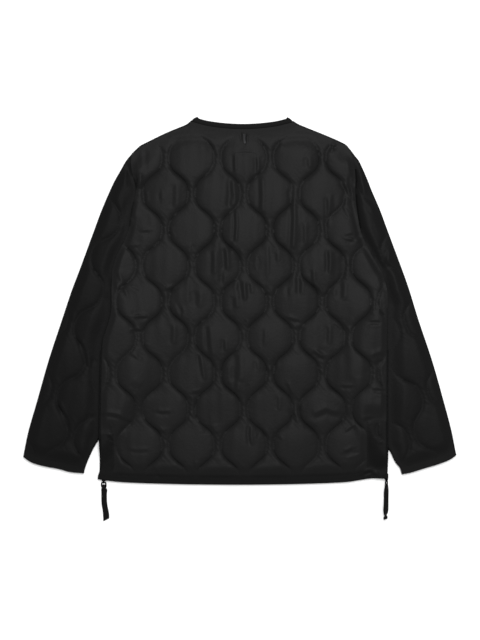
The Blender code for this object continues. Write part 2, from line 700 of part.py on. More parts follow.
def placket_creases(side):
    """Where a front steps into the overlap, outwards from the middle."""
    sign = 1.0 if side == "right" else -1.0
    knee, ramp = PLACKET_HALF + 0.6, PLACKET_HALF + 4.6
    return [sign * place for place in ((knee, ramp) if side == "right" else (knee - 4.0, knee, ramp))]


def with_creases(path, side):
    """The path with added points where the creases cross it."""
    rows = [tuple(path[0])]
    for (ax, ay), (bx, by) in zip(path, path[1:]):
        crossed = [x for x in placket_creases(side) if min(ax, bx) < x < max(ax, bx)]
        for x in sorted(crossed, reverse=bool(bx < ax)):
            rows.append((x, ay + (by - ay) * (x - ax) / (bx - ax)))
        rows.append((bx, by))
    tidy = [rows[0]] + [row for before, row in zip(rows, rows[1:]) if math.dist(before, row) > 0.8]
    return np.array(tidy)


def front_outline(side):
    """One front: from the placket along the hem, up the side and back along the neck."""
    sign = 1.0 if side == "right" else -1.0
    notch_x = PULLS[side]["pivot"][0] - sign * 5.6
    notch_y = PULLS[side]["pivot"][1] + 15.4
    placket = -sign * PLACKET_HALF
    hem = HEM_PATH if side == "right" else HEM_PATH[::-1]
    stays = hem[(sign * hem[:, 0] > sign * placket + 6.0) & (sign * hem[:, 0] < sign * notch_x - 4.0)]
    hem_y = np.interp([placket, notch_x], HEM_PATH[:, 0], HEM_PATH[:, 1])
    side_path = PATHS[side]["side"][::-1]
    side_up = side_path[side_path[:, 1] > notch_y + 5.0]
    side_x = np.interp(notch_y, side_path[:, 1], side_path[:, 0])
    neck = with_creases(neck_edge(side, "front"), side)
    bottom = with_creases(np.vstack([[(placket, hem_y[0])], stays, [(notch_x, hem_y[1])]]), side)
    notch = np.array([(notch_x, hem_y[1]), (notch_x, notch_y), (side_x, notch_y)])
    loop = outline(
        (bottom, "hem"), (notch, "seam"), (np.vstack([[(side_x, notch_y)], side_up]), "fold"),
        (PATHS[side]["hug"][::-1], "seam"), (PATHS[side]["armhole"][::-1], "seam"),
        (shoulder_edge(side, "front")[::-1], "fold"), (neck[::-1], "seam"),
        (curve([tuple(neck[0]), (placket, hem_y[0])], 60.0), "hem"))
    return loop if side == "right" else loop[::-1]


def make_front(side):
    sign = 1.0 if side == "right" else -1.0
    loop = front_outline(side)
    knee, ramp = PLACKET_HALF + 0.6, PLACKET_HALF + 4.6

    def low(x, y):
        if side == "right":
            step = np.clip((ramp - sign * x) / (ramp - knee), 0.0, 1.0) * PLACKET_INNER
        else:
            step = np.clip((knee - sign * x) / 4.0, 0.0, 1.0) * PLACKET_OUTER[0]
        return step + lift(x, y)

    def high(x, y):
        step = 0.0
        if side == "left":
            step = np.clip((ramp - sign * x) / (ramp - knee), 0.0, 1.0) * (FRONT_WALL - PLACKET_OUTER[1])
        return FRONT_WALL - step + lift(x, y)

    neck_y = NECK_FOLD_Y - NECK_DROP - BINDING_WIDTH
    heights = np.linspace(9.0, neck_y - 9.0, 8)
    runs = [[(place, y) for y in heights] for place in placket_creases(side)]
    points = lattice(loop)
    panel(f"front_{side}", loop, RIM_FRONT, low, high, (points, runs), (points, runs), "body_cloth")


# ---------------------------------------------------------------- sleeves

def make_sleeve(side):
    path = PATHS[side]
    edges = [(path["hug"], "seam"), (path["tuck"], "fold"), (path["forearm"], "fold"),
             (path["cuff"], "seam"), (path["outer"], "fold"), (path["armhole"], "seam")]
    loop = outline(*edges)
    if side == "left":
        loop = loop[::-1]

    def strength(x, y):
        x, y = np.atleast_1d(x), np.atleast_1d(y)
        full = ease(path_distance(x, y, loop, closed=True) / 15.0)
        full *= ease((path_distance(x, y, path["cuff"]) - HEM_WIDTH) / 9.0)
        return full * ease((tuck_distance(x, y, side) - 12.0) / 22.0)

    def low(x, y):
        return np.zeros_like(np.atleast_1d(x), dtype=float)

    def high(x, y):
        near = ease((tuck_distance(x, y, side) - 12.0) / 22.0)
        return SLEEVE_TUCKED + near * (SLEEVE_HEIGHT - SLEEVE_TUCKED) \
            + strength(x, y) * SLEEVE_RISE * puff(x, y, side)

    runs, loose = quilt_points(loop, side, strength)
    cuff = hem_line(loop, path["cuff"][1:-1], HEM_WIDTH)
    sign = 1.0 if side == "right" else -1.0
    beside = path["side"] + np.array((sign * TUCK_BORDER, 0.0))
    clear = path_distance(beside[:, 0], beside[:, 1], loop, closed=True) > 6.5
    border = [tuple(spot) for spot in beside[clear & inside(beside[:, 0], beside[:, 1], loop)]]
    runs = clip_runs(clip_runs(runs, np.array(cuff), 3.0), np.array(border), 3.0) + [cuff, border]
    sleeve = panel(f"sleeve_{side}", loop, RIM_SLEEVE, low, high, ([], []),
                   (thin_out(loose, runs, 4.0), runs), "sleeve_cloth")
    cut(sleeve, make_slit(side))


def make_slit(side):
    """The empty inside of a sleeve, open at the cuff and at the armhole."""
    sign = 1.0 if side == "right" else -1.0
    path = PATHS[side]
    wall, beyond = 9.0, 8.0
    under = np.vstack([path["hug"], path["tuck"][1:], path["forearm"][1:]])[::-1]
    outer, armhole = path["outer"], path["armhole"][::-1]
    pit = ARMHOLE[side][-1][1]
    rows = [585.0, 545.0, 505.0, 470.0, 440.0, pit + 14.0, pit - 12.0]
    rows += list(np.linspace(pit - 45.0, 62.0, 9))
    inner_side, outer_side = [], []
    for y in rows:
        if y > pit:
            x = np.interp(y, armhole[:, 1], armhole[:, 0]) - sign * beyond
        else:
            x = np.interp(y, under[:, 1], under[:, 0]) + sign * wall
        inner_side.append((x, y))
        outer_side.append((np.interp(y, outer[:, 1], outer[:, 0]) - sign * wall, y))
    inner_side.append((inner_side[-1][0] + sign * 26.0, 8.0))
    outer_side.append((outer_side[-1][0] + sign * 3.0, 8.0))
    loop = inner_side + outer_side[::-1]
    count = len(loop)
    vertices = [(x, y, z) for z in SLEEVE_SLIT for x, y in loop]
    faces = [tuple(range(count))[::-1], tuple(range(count, 2 * count))]
    faces += [(i, (i + 1) % count, count + (i + 1) % count, count + i) for i in range(count)]
    return make_object(f"slit_{side}", vertices, faces, None)


# ---------------------------------------------------------------- zips, studs and hanger

def make_zip(side):
    """Closed chain between the edges of the back and the front."""
    sign = 1.0 if side == "right" else -1.0
    path = PATHS[side]["side"]
    top, bottom = ZIP_TOP, PULLS[side]["pivot"][1] + 16.0
    heights = np.linspace(top, bottom, 17)
    x = np.interp(heights, path[::-1, 1], path[::-1, 0]) + sign * (SEAM_GAP + ZIP_WIDTH / 2)
    z = HEIGHT_BACK - SEAM_GAP / 2 + lift(x, heights)
    rings = [strip_ring((px, py, pz), (ZIP_WIDTH / 2, 0, 0), (0, 0, ZIP_HEIGHT / 2))
             for px, py, pz in zip(x, heights, z)]
    loft(f"zip_{side}", rings, "zip_chain")


def prism(name, rows, low, high, axis, material=None, parent=None):
    """A drawn outline, pushed out along an axis."""
    order = {"x": lambda a, b, c: (c, a, b), "z": lambda a, b, c: (a, b, c)}[axis]
    count = len(rows)
    vertices = [order(a, b, c) for c in (low, high) for a, b in rows]
    faces = [tuple(range(count))[::-1], tuple(range(count, 2 * count))]
    faces += [(i, (i + 1) % count, count + (i + 1) % count, count + i) for i in range(count)]
    return make_object(name, vertices, faces, material, parent)


def arc(radius, start, end, count):
    return [(radius * math.cos(math.radians(a)), radius * math.sin(math.radians(a)))
            for a in np.linspace(start, end, count)]


def make_slider(side, frame):
    """Slider in the pull's own frame: its lug's hole is at the origin, +y runs into the garment."""
    near, far = EAR["radius"] - 0.1, EAR["radius"] - 0.1 + SLIDER["length"]
    wide, nose, chamfer = SLIDER["width"] / 2, SLIDER["nose"] / 2, 1.2
    rows = [(-nose, near), (nose, near), (wide, near + 5.0), (wide, far - chamfer),
            (wide - chamfer, far), (-wide + chamfer, far), (-wide, far - chamfer), (-wide, near + 5.0)]
    half = SLIDER["thick"] / 2
    slider = prism(f"slider_{side}", rows, -half, half, "z", "zip_metal", frame)
    lug_rows = arc(EAR["radius"], 90.0, 270.0, 11)
    lug_rows += [(near + 1.0, -EAR["radius"]), (near + 1.0, EAR["radius"])]
    lug = prism(f"lug_{side}", lug_rows, -EAR["width"] / 2, EAR["width"] / 2, "x", None, frame)
    hole = prism(f"lug_hole_{side}", arc(EAR["hole"], 0.0, 330.0, 12), -4.0, 4.0, "x", None, frame)
    cut(slider, lug, "UNION")
    cut(slider, hole)
    for number, way in enumerate((-1.0, 1.0)):
        spine = SLIDER["spine"] / 2
        slot_rows = [(way * spine, near - 2.0), (way * 9.0, near - 2.0), (way * 9.0, far + 2.0),
                     (way * spine, far + 2.0)]
        slot = prism(f"chain_slot_{side}_{number}", slot_rows, -SLIDER["slot"] / 2, SLIDER["slot"] / 2,
                     "z", None, frame)
        cut(slider, slot)
    bevel = slider.modifiers.new("eased edges", "BEVEL")
    bevel.width = 0.3 * MM
    bevel.segments = 1
    bevel.limit_method = "ANGLE"
    bevel.angle_limit = math.radians(60)
    slider.modifiers.move(len(slider.modifiers) - 1, 0)


def make_loop(side, frame):
    """Bent wire that turns in the slider's lug."""
    half_w, length = LOOP["width"] / 2 - LOOP["wire"], LOOP["length"]
    corner = LOOP["corner"]
    path = []
    for cx, cy, start in ((half_w - corner, -length + corner, -90.0), (half_w - corner, -corner, 0.0),
                          (-half_w + corner, -corner, 90.0), (-half_w + corner, -length + corner, 180.0)):
        path += [(cx + dx, cy + dy) for dx, dy in arc(corner, start, start + 90.0, 5)]
    drop = PULLS[side]["drop"]
    centre = [Vector((x, y, drop * y / length)) for x, y in path]
    up = Vector((0.0, -drop, length)).normalized()
    rings = []
    for i, spot in enumerate(centre):
        along = (centre[(i + 1) % len(centre)] - centre[i - 1]).normalized()
        out = along.cross(up).normalized()
        turns = [math.radians(a) for a in range(0, 360, 45)]
        rings.append([spot + (out * math.cos(a) + up * math.sin(a)) * LOOP["wire"] for a in turns])
    loft(f"puller_{side}", rings, "zip_metal", frame, closed=True)


def make_pull_tape(side, frame):
    """Tape folded round the loop's far bar, both layers sewn together below it."""
    rows = np.array(TAPE_ROWS[side])
    bar = Vector((0.0, -LOOP["length"], -PULLS[side]["drop"]))
    half = TAPE["thick"] / 2
    spread = (TAPE["thick"] + TAPE["air"]) / 2
    end = rows[-1, 0]
    rings = []

    def flat_ring(distance, way):
        shift, width = (np.interp(distance, rows[:, 0], rows[:, k]) for k in (1, 2))
        settle = float(ease(np.array((distance - LOOP["length"] - 1.0) / 5.0)))
        z = bar.z - settle * PULLS[side]["sink"] + way * (TAPE["eye"] + settle * (spread - TAPE["eye"]))
        slant = TAPE["slant"] * float(ease(np.array((distance - end + 20.0) / 20.0))) * width / 2
        return strip_ring((shift, -distance, z), (width / 2, slant, 0.0), (0.0, 0.0, way * half))

    distances = [float(d) for d in rows[1:, 0]]
    rings += [flat_ring(distance, -1.0) for distance in distances[::-1]]
    for turn in range(-90, 91, 30):
        angle = math.radians(turn)
        out = Vector((0.0, math.cos(angle), math.sin(angle)))
        rings.append(strip_ring(bar + out * TAPE["eye"], (TAPE["eye_width"] / 2, 0.0, 0.0), out * half))
    rings += [flat_ring(distance, 1.0) for distance in distances]
    loft(f"pull_tape_{side}", rings, "binding_cloth", frame)


def make_pull(side):
    data = PULLS[side]
    fixed = bpy.data.objects.new(f"slider_frame_{side}", None)
    swings = bpy.data.objects.new(f"pull_axis_{side}", None)
    for frame in (fixed, swings):
        frame.location = Vector(data["pivot"]) * MM
        frame.rotation_euler = (0.0, data["roll"], 0.0)
        frame.empty_display_size = 0.01
        bpy.context.scene.collection.objects.link(frame)
    make_slider(side, fixed)
    make_loop(side, swings)
    make_pull_tape(side, swings)


def make_studs():
    """Low caps under the outer placket, face down on the floor."""
    for number, y in enumerate(STUD_HEIGHTS_Y, 1):
        profile = ((STUD_RADIUS - 1.4, 0.0), (STUD_RADIUS - 0.3, 0.35), (STUD_RADIUS, 0.8),
                   (STUD_RADIUS - 0.1, STUD_HEIGHT))
        rings = [[Vector((r * math.cos(a), y + r * math.sin(a), z))
                  for a in np.linspace(0.0, 2 * math.pi, 16, endpoint=False)] for r, z in profile]
        loft(f"press_stud_{number}", rings, "stud_metal")


def make_hanger():
    """Narrow loop of tape that hangs down from the neck binding."""
    half_t = HANGER["thick"] / 2
    rows = []
    for share in np.linspace(0.0, 1.0, 6):
        y = HANGER["top"] + share * (HANGER["bottom"] + 1.6 - HANGER["top"])
        offset = HANGER["spread"] + ease(share) * (HANGER["narrow"] - HANGER["spread"])
        rows.append((-offset, y, Vector((1.0, 0.0, 0.0))))
    for turn in (225, 270, 315):
        angle = math.radians(turn)
        out = Vector((math.cos(angle), math.sin(angle), 0.0))
        rows.append((HANGER["narrow"] * out.x, HANGER["bottom"] + 1.6 + HANGER["narrow"] * out.y, -out))
    rows += [(-x, y, -across) for x, y, across in rows[:6][::-1]]
    rings = []
    beside_x, beside_y = (grid.ravel() for grid in np.meshgrid((-3.0, 0.0, 3.0), (-5.0, 0.0, 5.0)))
    for x, y, across in rows:
        cloth = back_high(HANGER["x"] + x + beside_x, y + beside_y).max()
        z = cloth + SEAM_GAP + half_t
        rings.append(strip_ring((HANGER["x"] + x, y, z), across * HANGER["width"] / 2, (0, 0, half_t)))
    loft("hanging_loop", rings, "binding_cloth")


# ---------------------------------------------------------------- the jacket

def stand_on_origin():
    """Move everything so that the middle of the outline is over the origin."""
    bpy.context.view_layer.update()
    graph = bpy.context.evaluated_depsgraph_get()
    corners = []
    for thing in bpy.context.scene.objects:
        if thing.type == "MESH" and not thing.hide_render:
            shaped = thing.evaluated_get(graph)
            corners += [shaped.matrix_world @ vertex.co for vertex in shaped.data.vertices]
    spots = np.array([tuple(corner) for corner in corners])
    middle = (spots.min(axis=0) + spots.max(axis=0)) / 2
    for thing in bpy.context.scene.objects:
        if thing.parent is None:
            thing.location.x -= middle[0]
            thing.location.y -= middle[1]
    print("middle of the outline, in millimetres:", np.round(middle[:2] / MM, 4))
    print("size, in millimetres:", np.round((spots.max(axis=0) - spots.min(axis=0)) / MM, 3))
    print("lowest point, in millimetres:", round(spots[:, 2].min() / MM, 4))


def main():
    for thing in list(bpy.data.objects):
        bpy.data.objects.remove(thing, do_unlink=True)
    make_back()
    for side in ("left", "right"):
        make_front(side)
        make_sleeve(side)
        make_zip(side)
        make_pull(side)
    make_binding()
    make_hanger()
    make_studs()
    stand_on_origin()


main()
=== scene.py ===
# %% [markdown]
# # A quilted liner jacket, laid face down
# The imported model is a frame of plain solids. This lesson dresses each of them in its real cloth,
# with quilting, creases and sewing, and lights the jacket from a broad soft lamp.
# Lengths are millimetres in the garment's own frame: x runs across from the centre line, y runs up
# from the hem and z runs up from the floor. Left and right are the wearer's.

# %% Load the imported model
import math

import bpy
import numpy as np
from mathutils import Matrix, Vector
from mathutils.geometry import delaunay_2d_cdt


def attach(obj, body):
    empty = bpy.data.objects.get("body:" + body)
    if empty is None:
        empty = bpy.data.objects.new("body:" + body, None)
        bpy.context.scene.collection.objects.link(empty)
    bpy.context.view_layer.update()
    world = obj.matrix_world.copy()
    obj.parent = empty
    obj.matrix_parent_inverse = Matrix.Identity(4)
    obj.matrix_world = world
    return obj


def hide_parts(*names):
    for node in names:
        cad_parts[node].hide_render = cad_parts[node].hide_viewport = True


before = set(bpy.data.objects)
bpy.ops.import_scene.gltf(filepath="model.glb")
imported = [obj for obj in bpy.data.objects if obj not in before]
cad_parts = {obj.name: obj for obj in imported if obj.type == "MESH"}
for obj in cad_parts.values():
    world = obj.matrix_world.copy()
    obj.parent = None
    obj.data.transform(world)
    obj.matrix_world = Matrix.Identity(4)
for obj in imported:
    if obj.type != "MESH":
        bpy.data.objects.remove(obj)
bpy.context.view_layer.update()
MM = 0.001
SHIFT = (5.7525, -307.8406)      # from the garment's own frame to the frame of the scene
print("solids:", len(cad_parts))

# %% [markdown]
# ## Camera
# A camera that looks straight down from three metres sees a flat garment with very little
# perspective. It comes first, so that every later step can be judged through it.

# %% Camera, straight above the jacket
FOCAL_LENGTH = 90.73             # in millimetres
CAMERA_PLACE = (0.00017, -0.00094, 3.009)

scene = bpy.context.scene
lens = bpy.data.cameras.new("camera_above")
lens.lens = FOCAL_LENGTH
lens.clip_end = 20.0
camera = bpy.data.objects.new("camera_above", lens)
camera.location = CAMERA_PLACE
scene.collection.objects.link(camera)
scene.camera = camera
print("the view is", round(CAMERA_PLACE[2] * lens.sensor_width / FOCAL_LENGTH, 3), "m high at the cloth")

# %% [markdown]
# ## The pattern pieces
# A garment is cut from flat pattern pieces, so its shape starts as outlines. Each row is a point
# of a seam or a fold. A smooth curve goes through the rows, and it can be cut as finely as needed.

# %% Outlines of the pattern pieces
# SIDE is the side edge of the body, and HUG is where body and sleeve touch below the armpit. TUCK is
# the fold of the sleeve that runs under the body, FOREARM the rest of it, and OUTER the other fold.
ARMHOLE = {
    "left": ((-206.5, 616.7), (-208.2, 603.5), (-207.6, 588.5), (-204.0, 571.0), (-199.6, 552.4),
             (-200.9, 535.5), (-206.6, 516.0), (-209.6, 496.6), (-213.0, 474.3), (-222.3, 451.0),
             (-235.3, 425.9), (-243.7, 398.0)),
    "right": ((194.4, 630.0), (203.7, 608.2), (208.9, 576.6), (208.9, 539.4), (213.0, 502.2),
              (220.4, 466.9), (238.1, 429.7), (259.7, 393.0)),
}
SHOULDER = {
    "left": ((-123.7, 663.1), (-141.5, 655.7), (-157.5, 648.2), (-172.4, 640.8), (-187.5, 633.3),
             (-193.1, 629.6), (-200.9, 622.2), (-206.5, 616.7)),
    "right": ((122.6, 663.1), (141.4, 655.7), (159.4, 648.2), (176.3, 640.8), (189.0, 634.4),
              (194.4, 630.0)),
}
HUG = {
    "left": ((-243.7, 398.0), (-244.0, 368.0), (-243.7, 338.5)),
    "right": ((259.7, 393.0), (267.2, 362.7), (268.4, 332.9)),
}
SIDE = {
    "left": ((-243.7, 338.5), (-246.5, 316.0), (-256.0, 284.6), (-261.5, 260.4), (-264.4, 158.1),
             (-265.2, 89.3), (-264.2, 62.0), (-264.2, 36.0), (-267.2, 25.0), (-270.0, 17.0),
             (-270.4, 10.2)),
    "right": ((268.4, 332.9), (267.9, 270.0), (266.9, 200.0), (267.0, 89.3), (267.2, 58.0),
              (266.8, 36.0), (268.3, 25.0), (269.4, 18.0), (268.8, 12.1)),
}
HEM = ((-270.4, 10.2), (-219.5, 4.7), (-130.0, 1.6), (-44.6, 0.4), (26.0, 0.4), (110.0, 1.8),
       (184.1, 4.7), (213.9, 8.4), (238.1, 12.0), (268.8, 12.1))
TUCK = {
    "left": ((-243.7, 338.5), (-232.5, 297.6), (-225.0, 260.4), (-223.2, 223.2), (-226.9, 186.0),
             (-238.0, 148.8), (-253.0, 111.6), (-269.1, 83.7)),
    "right": ((268.4, 332.9), (254.8, 297.6), (241.8, 260.4), (234.4, 217.6), (232.5, 173.0),
              (239.9, 130.2), (253.9, 94.9), (270.6, 65.1)),
}
FOREARM = {
    "left": ((-269.1, 83.7), (-280.3, 64.2), (-290.2, 41.9), (-295.0, 28.0), (-295.9, 21.4)),
    "right": ((270.6, 65.1), (274.7, 60.5), (281.6, 45.6), (286.4, 38.1), (292.0, 31.6),
              (295.7, 19.5)),
}
CUFF = {
    "left": ((-295.9, 21.4), (-321.8, 23.9), (-343.5, 29.6), (-372.9, 35.2), (-394.1, 41.9),
             (-409.0, 52.1)),
    "right": ((295.7, 19.5), (313.4, 23.0), (336.7, 30.3), (362.7, 38.1), (384.5, 46.6),
              (397.5, 55.8)),
}
OUTER = {
    "left": ((-409.0, 52.1), (-407.0, 64.2), (-399.3, 101.4), (-383.2, 157.2), (-362.1, 231.6),
             (-337.6, 306.0), (-319.0, 361.8), (-304.9, 399.0), (-277.5, 473.4), (-263.7, 510.6),
             (-247.8, 547.8), (-239.0, 566.4), (-228.4, 585.0), (-217.6, 603.6), (-206.5, 616.7)),
    "right": ((397.5, 55.8), (395.4, 64.2), (388.2, 101.4), (373.5, 157.2), (352.3, 231.6),
              (327.4, 306.0), (310.2, 361.8), (297.2, 399.0), (269.5, 473.4), (255.8, 510.6),
              (239.9, 547.8), (232.7, 566.4), (224.7, 585.0), (215.8, 603.6), (209.8, 611.0),
              (201.4, 622.2), (194.4, 630.0)),
}
SIDES = ("left", "right")
SIGN = {"left": -1.0, "right": 1.0}


def at_lengths(path, length, stops):
    """Points of a path at some lengths along it."""
    return np.column_stack([np.interp(stops, length, path[:, k]) for k in range(2)])


def curve(rows, step):
    """Smooth path through the rows, cut into equal stretches of about one step."""
    rows = np.array(rows, dtype=float)
    padded = np.vstack([2 * rows[0] - rows[1], rows, 2 * rows[-1] - rows[-2]])
    fine = []
    for i in range(1, len(padded) - 2):
        p0, p1, p2, p3 = padded[i - 1:i + 3]
        for t in np.linspace(0.0, 1.0, 12, endpoint=False):
            fine.append(0.5 * (2 * p1 + (p2 - p0) * t + (2 * p0 - 5 * p1 + 4 * p2 - p3) * t * t
                               + (3 * p1 - p0 - 3 * p2 + p3) * t ** 3))
    fine = np.array(fine + [rows[-1]])
    length = np.concatenate([[0.0], np.cumsum(np.linalg.norm(np.diff(fine, axis=0), axis=1))])
    stops = np.linspace(0.0, length[-1], max(1, round(length[-1] / step)) + 1)
    return at_lengths(fine, length, stops)


def cut_paths(step):
    """Every seam and fold of both sides, cut with that step."""
    names = {"armhole": ARMHOLE, "shoulder": SHOULDER, "hug": HUG, "side": SIDE, "tuck": TUCK,
             "forearm": FOREARM, "cuff": CUFF, "outer": OUTER}
    return {side: {name: curve(rows[side], step) for name, rows in names.items()} for side in SIDES}


RIM_STEP = 2.6                   # spacing of the points along an edge that shows
ROUGH_STEP = 13.0                # and along one that is only measured from, which is quicker
ROUGH, ROUGH_HEM = cut_paths(ROUGH_STEP), curve(HEM, ROUGH_STEP)
CLEAN, CLEAN_HEM = cut_paths(RIM_STEP), curve(HEM, RIM_STEP)
print("points along the left side edge:", len(ROUGH["left"]["side"]), "and", len(CLEAN["left"]["side"]))

# %% [markdown]
# ## Measuring on the cloth
# Quilting, creases and hems all depend on how far a point is from some line. These helpers measure
# many thousands of points at once with NumPy, a few thousand at a time to save memory.

# %% Distances, and which points lie inside an outline
BATCH = 4000                     # points measured at once
UPPER_RIGHT = (0.8, 0.6)         # the way to the lamp's side, for telling the flanks of a crease apart


def ease(value):
    """Smooth step from 0 to 1."""
    t = np.clip(value, 0.0, 1.0)
    return t * t * (3.0 - 2.0 * t)


def nearest_on(path, x, y, closed=False):
    """For each point, its distance to a path, how far along the path that is, and whether it is on the
    path's upper right side (1) or not (-1)."""
    start = np.asarray(path, dtype=float)[:, :2]
    end = np.roll(start, -1, axis=0)
    if not closed:
        start, end = start[:-1], end[:-1]
    run = end - start
    square = np.maximum(np.sum(run * run, axis=1), 1e-12)
    passed = np.concatenate([[0.0], np.cumsum(np.sqrt(square))[:-1]])
    x, y = np.atleast_1d(x).astype(float), np.atleast_1d(y).astype(float)
    facing = np.where(run[:, 1] * UPPER_RIGHT[0] - run[:, 0] * UPPER_RIGHT[1] > 0, 1.0, -1.0)
    away, along, beside = np.zeros(len(x)), np.zeros(len(x)), np.zeros(len(x))
    for first in range(0, len(x), BATCH):
        part = slice(first, first + BATCH)
        px, py = x[part, None] - start[:, 0], y[part, None] - start[:, 1]
        share = np.clip((px * run[:, 0] + py * run[:, 1]) / square, 0.0, 1.0)
        gap = np.hypot(px - share * run[:, 0], py - share * run[:, 1])
        best = np.argmin(gap, axis=1)
        row = np.arange(len(best))
        away[part] = gap[row, best]
        along[part] = passed[best] + share[row, best] * np.sqrt(square[best])
        turn = run[best, 1] * px[row, best] - run[best, 0] * py[row, best]
        beside[part] = np.where(turn > 0, 1.0, -1.0) * facing[best]
    return away, along, beside


def distance(path, x, y, closed=False):
    """For each point, its distance to a path."""
    return nearest_on(path, x, y, closed)[0]


def inside(loop, x, y):
    """Which points lie inside a loop."""
    ax, ay = loop[:, 0], loop[:, 1]
    bx, by = np.roll(ax, -1), np.roll(ay, -1)
    rise = np.where(by == ay, 1e-9, by - ay)
    x, y = np.atleast_1d(x).astype(float), np.atleast_1d(y).astype(float)
    found = np.zeros(len(x), dtype=bool)
    for first in range(0, len(x), BATCH):
        part = slice(first, first + BATCH)
        px, py = x[part, None], y[part, None]
        crosses = (ay > py) != (by > py)
        found[part] = np.sum(crosses & (px < (bx - ax) * (py - ay) / rise + ax), axis=1) % 2 == 1
    return found


print("a point 10 mm below the hem's middle is",
      round(float(distance(ROUGH_HEM, 0.0, -9.6)[0]), 2), "mm away")

# %% [markdown]
# ## The body rests on the tucked sleeves
# Where a sleeve runs underneath, the body is lifted, and the cloth falls off in a soft slope. The
# right corner of the hem curls up as well. Both are height fields, so that the back, the fronts, the
# zips and the sewing can all follow the same one.

# %% How high the sleeves lift the body
LIFT = 8.5                       # how far a sleeve lifts the body
LIFT_MARGIN = 10.0               # the cloth keeps that height for this distance
LIFT_FALL = 34.0                 # and comes down over this one
CORNER_LIFT = {"left": 0.0, "right": 4.0}
CORNER_NEAR, CORNER_REACH = 10.0, 30.0


def tucked_part(side):
    """Loop round the part of a sleeve that lies under the body."""
    edge = ROUGH[side]["side"]
    return np.vstack([ROUGH[side]["tuck"], edge[edge[:, 1] > TUCK[side][-1][1] + 4.0][::-1]])


TUCKED = {side: tucked_part(side) for side in SIDES}


def tuck_distance(x, y, side):
    """Distance to that part, which is nothing inside it."""
    away = distance(TUCKED[side], x, y, closed=True)
    return np.where(inside(TUCKED[side], x, y), 0.0, away)


def lift(x, y):
    """Height that the sleeves add under the body. It falls off more slowly above the cuffs."""
    away = np.minimum(tuck_distance(x, y, "left"), tuck_distance(x, y, "right"))
    fall = LIFT_FALL * (1.0 + 0.8 * ease((y - 100.0) / 60.0))
    return LIFT * (1.0 - ease((away - LIFT_MARGIN) / fall))


def corner_lift(x, y):
    """Height by which the corners of the hem curl up."""
    height = np.zeros(len(np.atleast_1d(x)))
    for side in SIDES:
        corner = SIDE[side][-1]
        away = np.hypot(x - corner[0], y - corner[1])
        height += CORNER_LIFT[side] * (1.0 - ease((away - CORNER_NEAR) / (CORNER_REACH - CORNER_NEAR)))
    return height


print("lift at the left elbow:", round(float(lift(-240.0, 200.0)[0]), 2), "mm")

# %% [markdown]
# ## Onion quilting
# Two layers of nylon and a sheet of wadding are sewn together along mirrored wavy rows. Between
# the rows the wadding pushes the cloth up. One formula gives the rows, and another gives the
# cushion between two rows, so the same pattern fits the body and both sleeves.

# %% Rows of quilting and the padding between them
QUILT_PITCH = 97.1               # across the pattern, from a row to the next of the same wave
QUILT_LENGTH = 133.5             # along it, from one wave to the next
QUILT_SWING = 17.7               # how far a row swings to each side
QUILT_SQUARE = 1.25              # how flat the tops of its waves are
DOME_SHARE = 0.74                # the dome's part of a cushion's height
SHELF_REACH = 2.4                # distance from the stitches over which the steep shelf rises
# for each area, a point on the middle of the pattern and the way that its rows run
QUILT_FRAME = {
    "body": ((1.9, 75.0), (0.0, 1.0)),
    "left": ((-303.2, 160.0), (0.24, 0.971)),
    "right": ((292.0, 154.4), (-0.319, 0.948)),
}


def quilt_wave(v):
    """The wave of a row, from -1 to 1."""
    return np.tanh(QUILT_SQUARE * np.cos(2 * math.pi * v / QUILT_LENGTH)) / math.tanh(QUILT_SQUARE)


def quilt_slope(v):
    return QUILT_SWING * (quilt_wave(v + 1.0) - quilt_wave(v - 1.0)) / 2


def row_sign(number):
    """Neighbouring rows mirror each other."""
    return np.where(np.asarray(number) % 2 == 0, 1.0, -1.0)


def quilt_row(number, v):
    """Place across the pattern of one row of quilting."""
    return (number + 0.5) * QUILT_PITCH / 2 + row_sign(number) * QUILT_SWING * quilt_wave(v)


def to_pattern(x, y, area):
    """Places across and along the pattern."""
    (ox, oy), (ux, uy) = QUILT_FRAME[area]
    return (x - ox) * uy - (y - oy) * ux, (x - ox) * ux + (y - oy) * uy


def from_pattern(u, v, area):
    (ox, oy), (ux, uy) = QUILT_FRAME[area]
    return ox + u * uy + v * ux, oy - u * ux + v * uy


def puff(x, y, area, crisp=1.0):
    """Height of the padding above the stitching, from 0 to 1: a dome on a short steep shelf. The dome
    is flat where a cell is wide and sharpens to a ridge towards its necks. The shelf is steeper
    beside rows that run down to the right, where the cloth is pulled tight."""
    u, v = to_pattern(x, y, area)
    channel = np.round(u / (QUILT_PITCH / 2))
    height = np.zeros_like(u)
    slope = quilt_slope(v)
    for shift in (-1, 0, 1):
        number = channel + shift
        sign = row_sign(number)
        half = QUILT_PITCH / 4 + sign * QUILT_SWING * quilt_wave(v)
        share = np.clip((u - number * QUILT_PITCH / 2) / half, -1.0, 1.0)
        gap = half * (1.0 - abs(share)) / np.hypot(1.0, slope)
        broad = 0.5 + 0.5 * sign * np.cos(2 * math.pi * v / QUILT_LENGTH)
        power = 1.3 + 1.2 * broad + 1.4 * (1.0 - (2 * broad - 1.0) ** 2)
        crumple = np.sin(v / 2.1 + 0.5 * u + 2.7 * np.sin(v / 9.0 + u / 7.0))
        crumple *= 0.25 * (1.0 - broad) ** 3
        dome = (0.42 + 0.58 * broad) * (1.0 + crumple) * (1.0 - abs(share) ** power)
        tight = crisp * (0.18 + (0.06 - 0.10 * share) * sign * slope)
        shelf = tight * np.minimum(half / 14.0, 1.0) * (1.0 - np.exp(-gap / SHELF_REACH))
        height = np.maximum(height, DOME_SHARE * dome + shelf)
    return height


def row_distance(x, y, area):
    """Distance to the nearest row of quilting."""
    u, v = to_pattern(x, y, area)
    number = np.round(2 * u / QUILT_PITCH - 0.5)
    gaps = [abs(u - quilt_row(number + shift, v)) for shift in (-1, 0, 1)]
    return np.minimum.reduce(gaps) / np.hypot(1.0, quilt_slope(v))


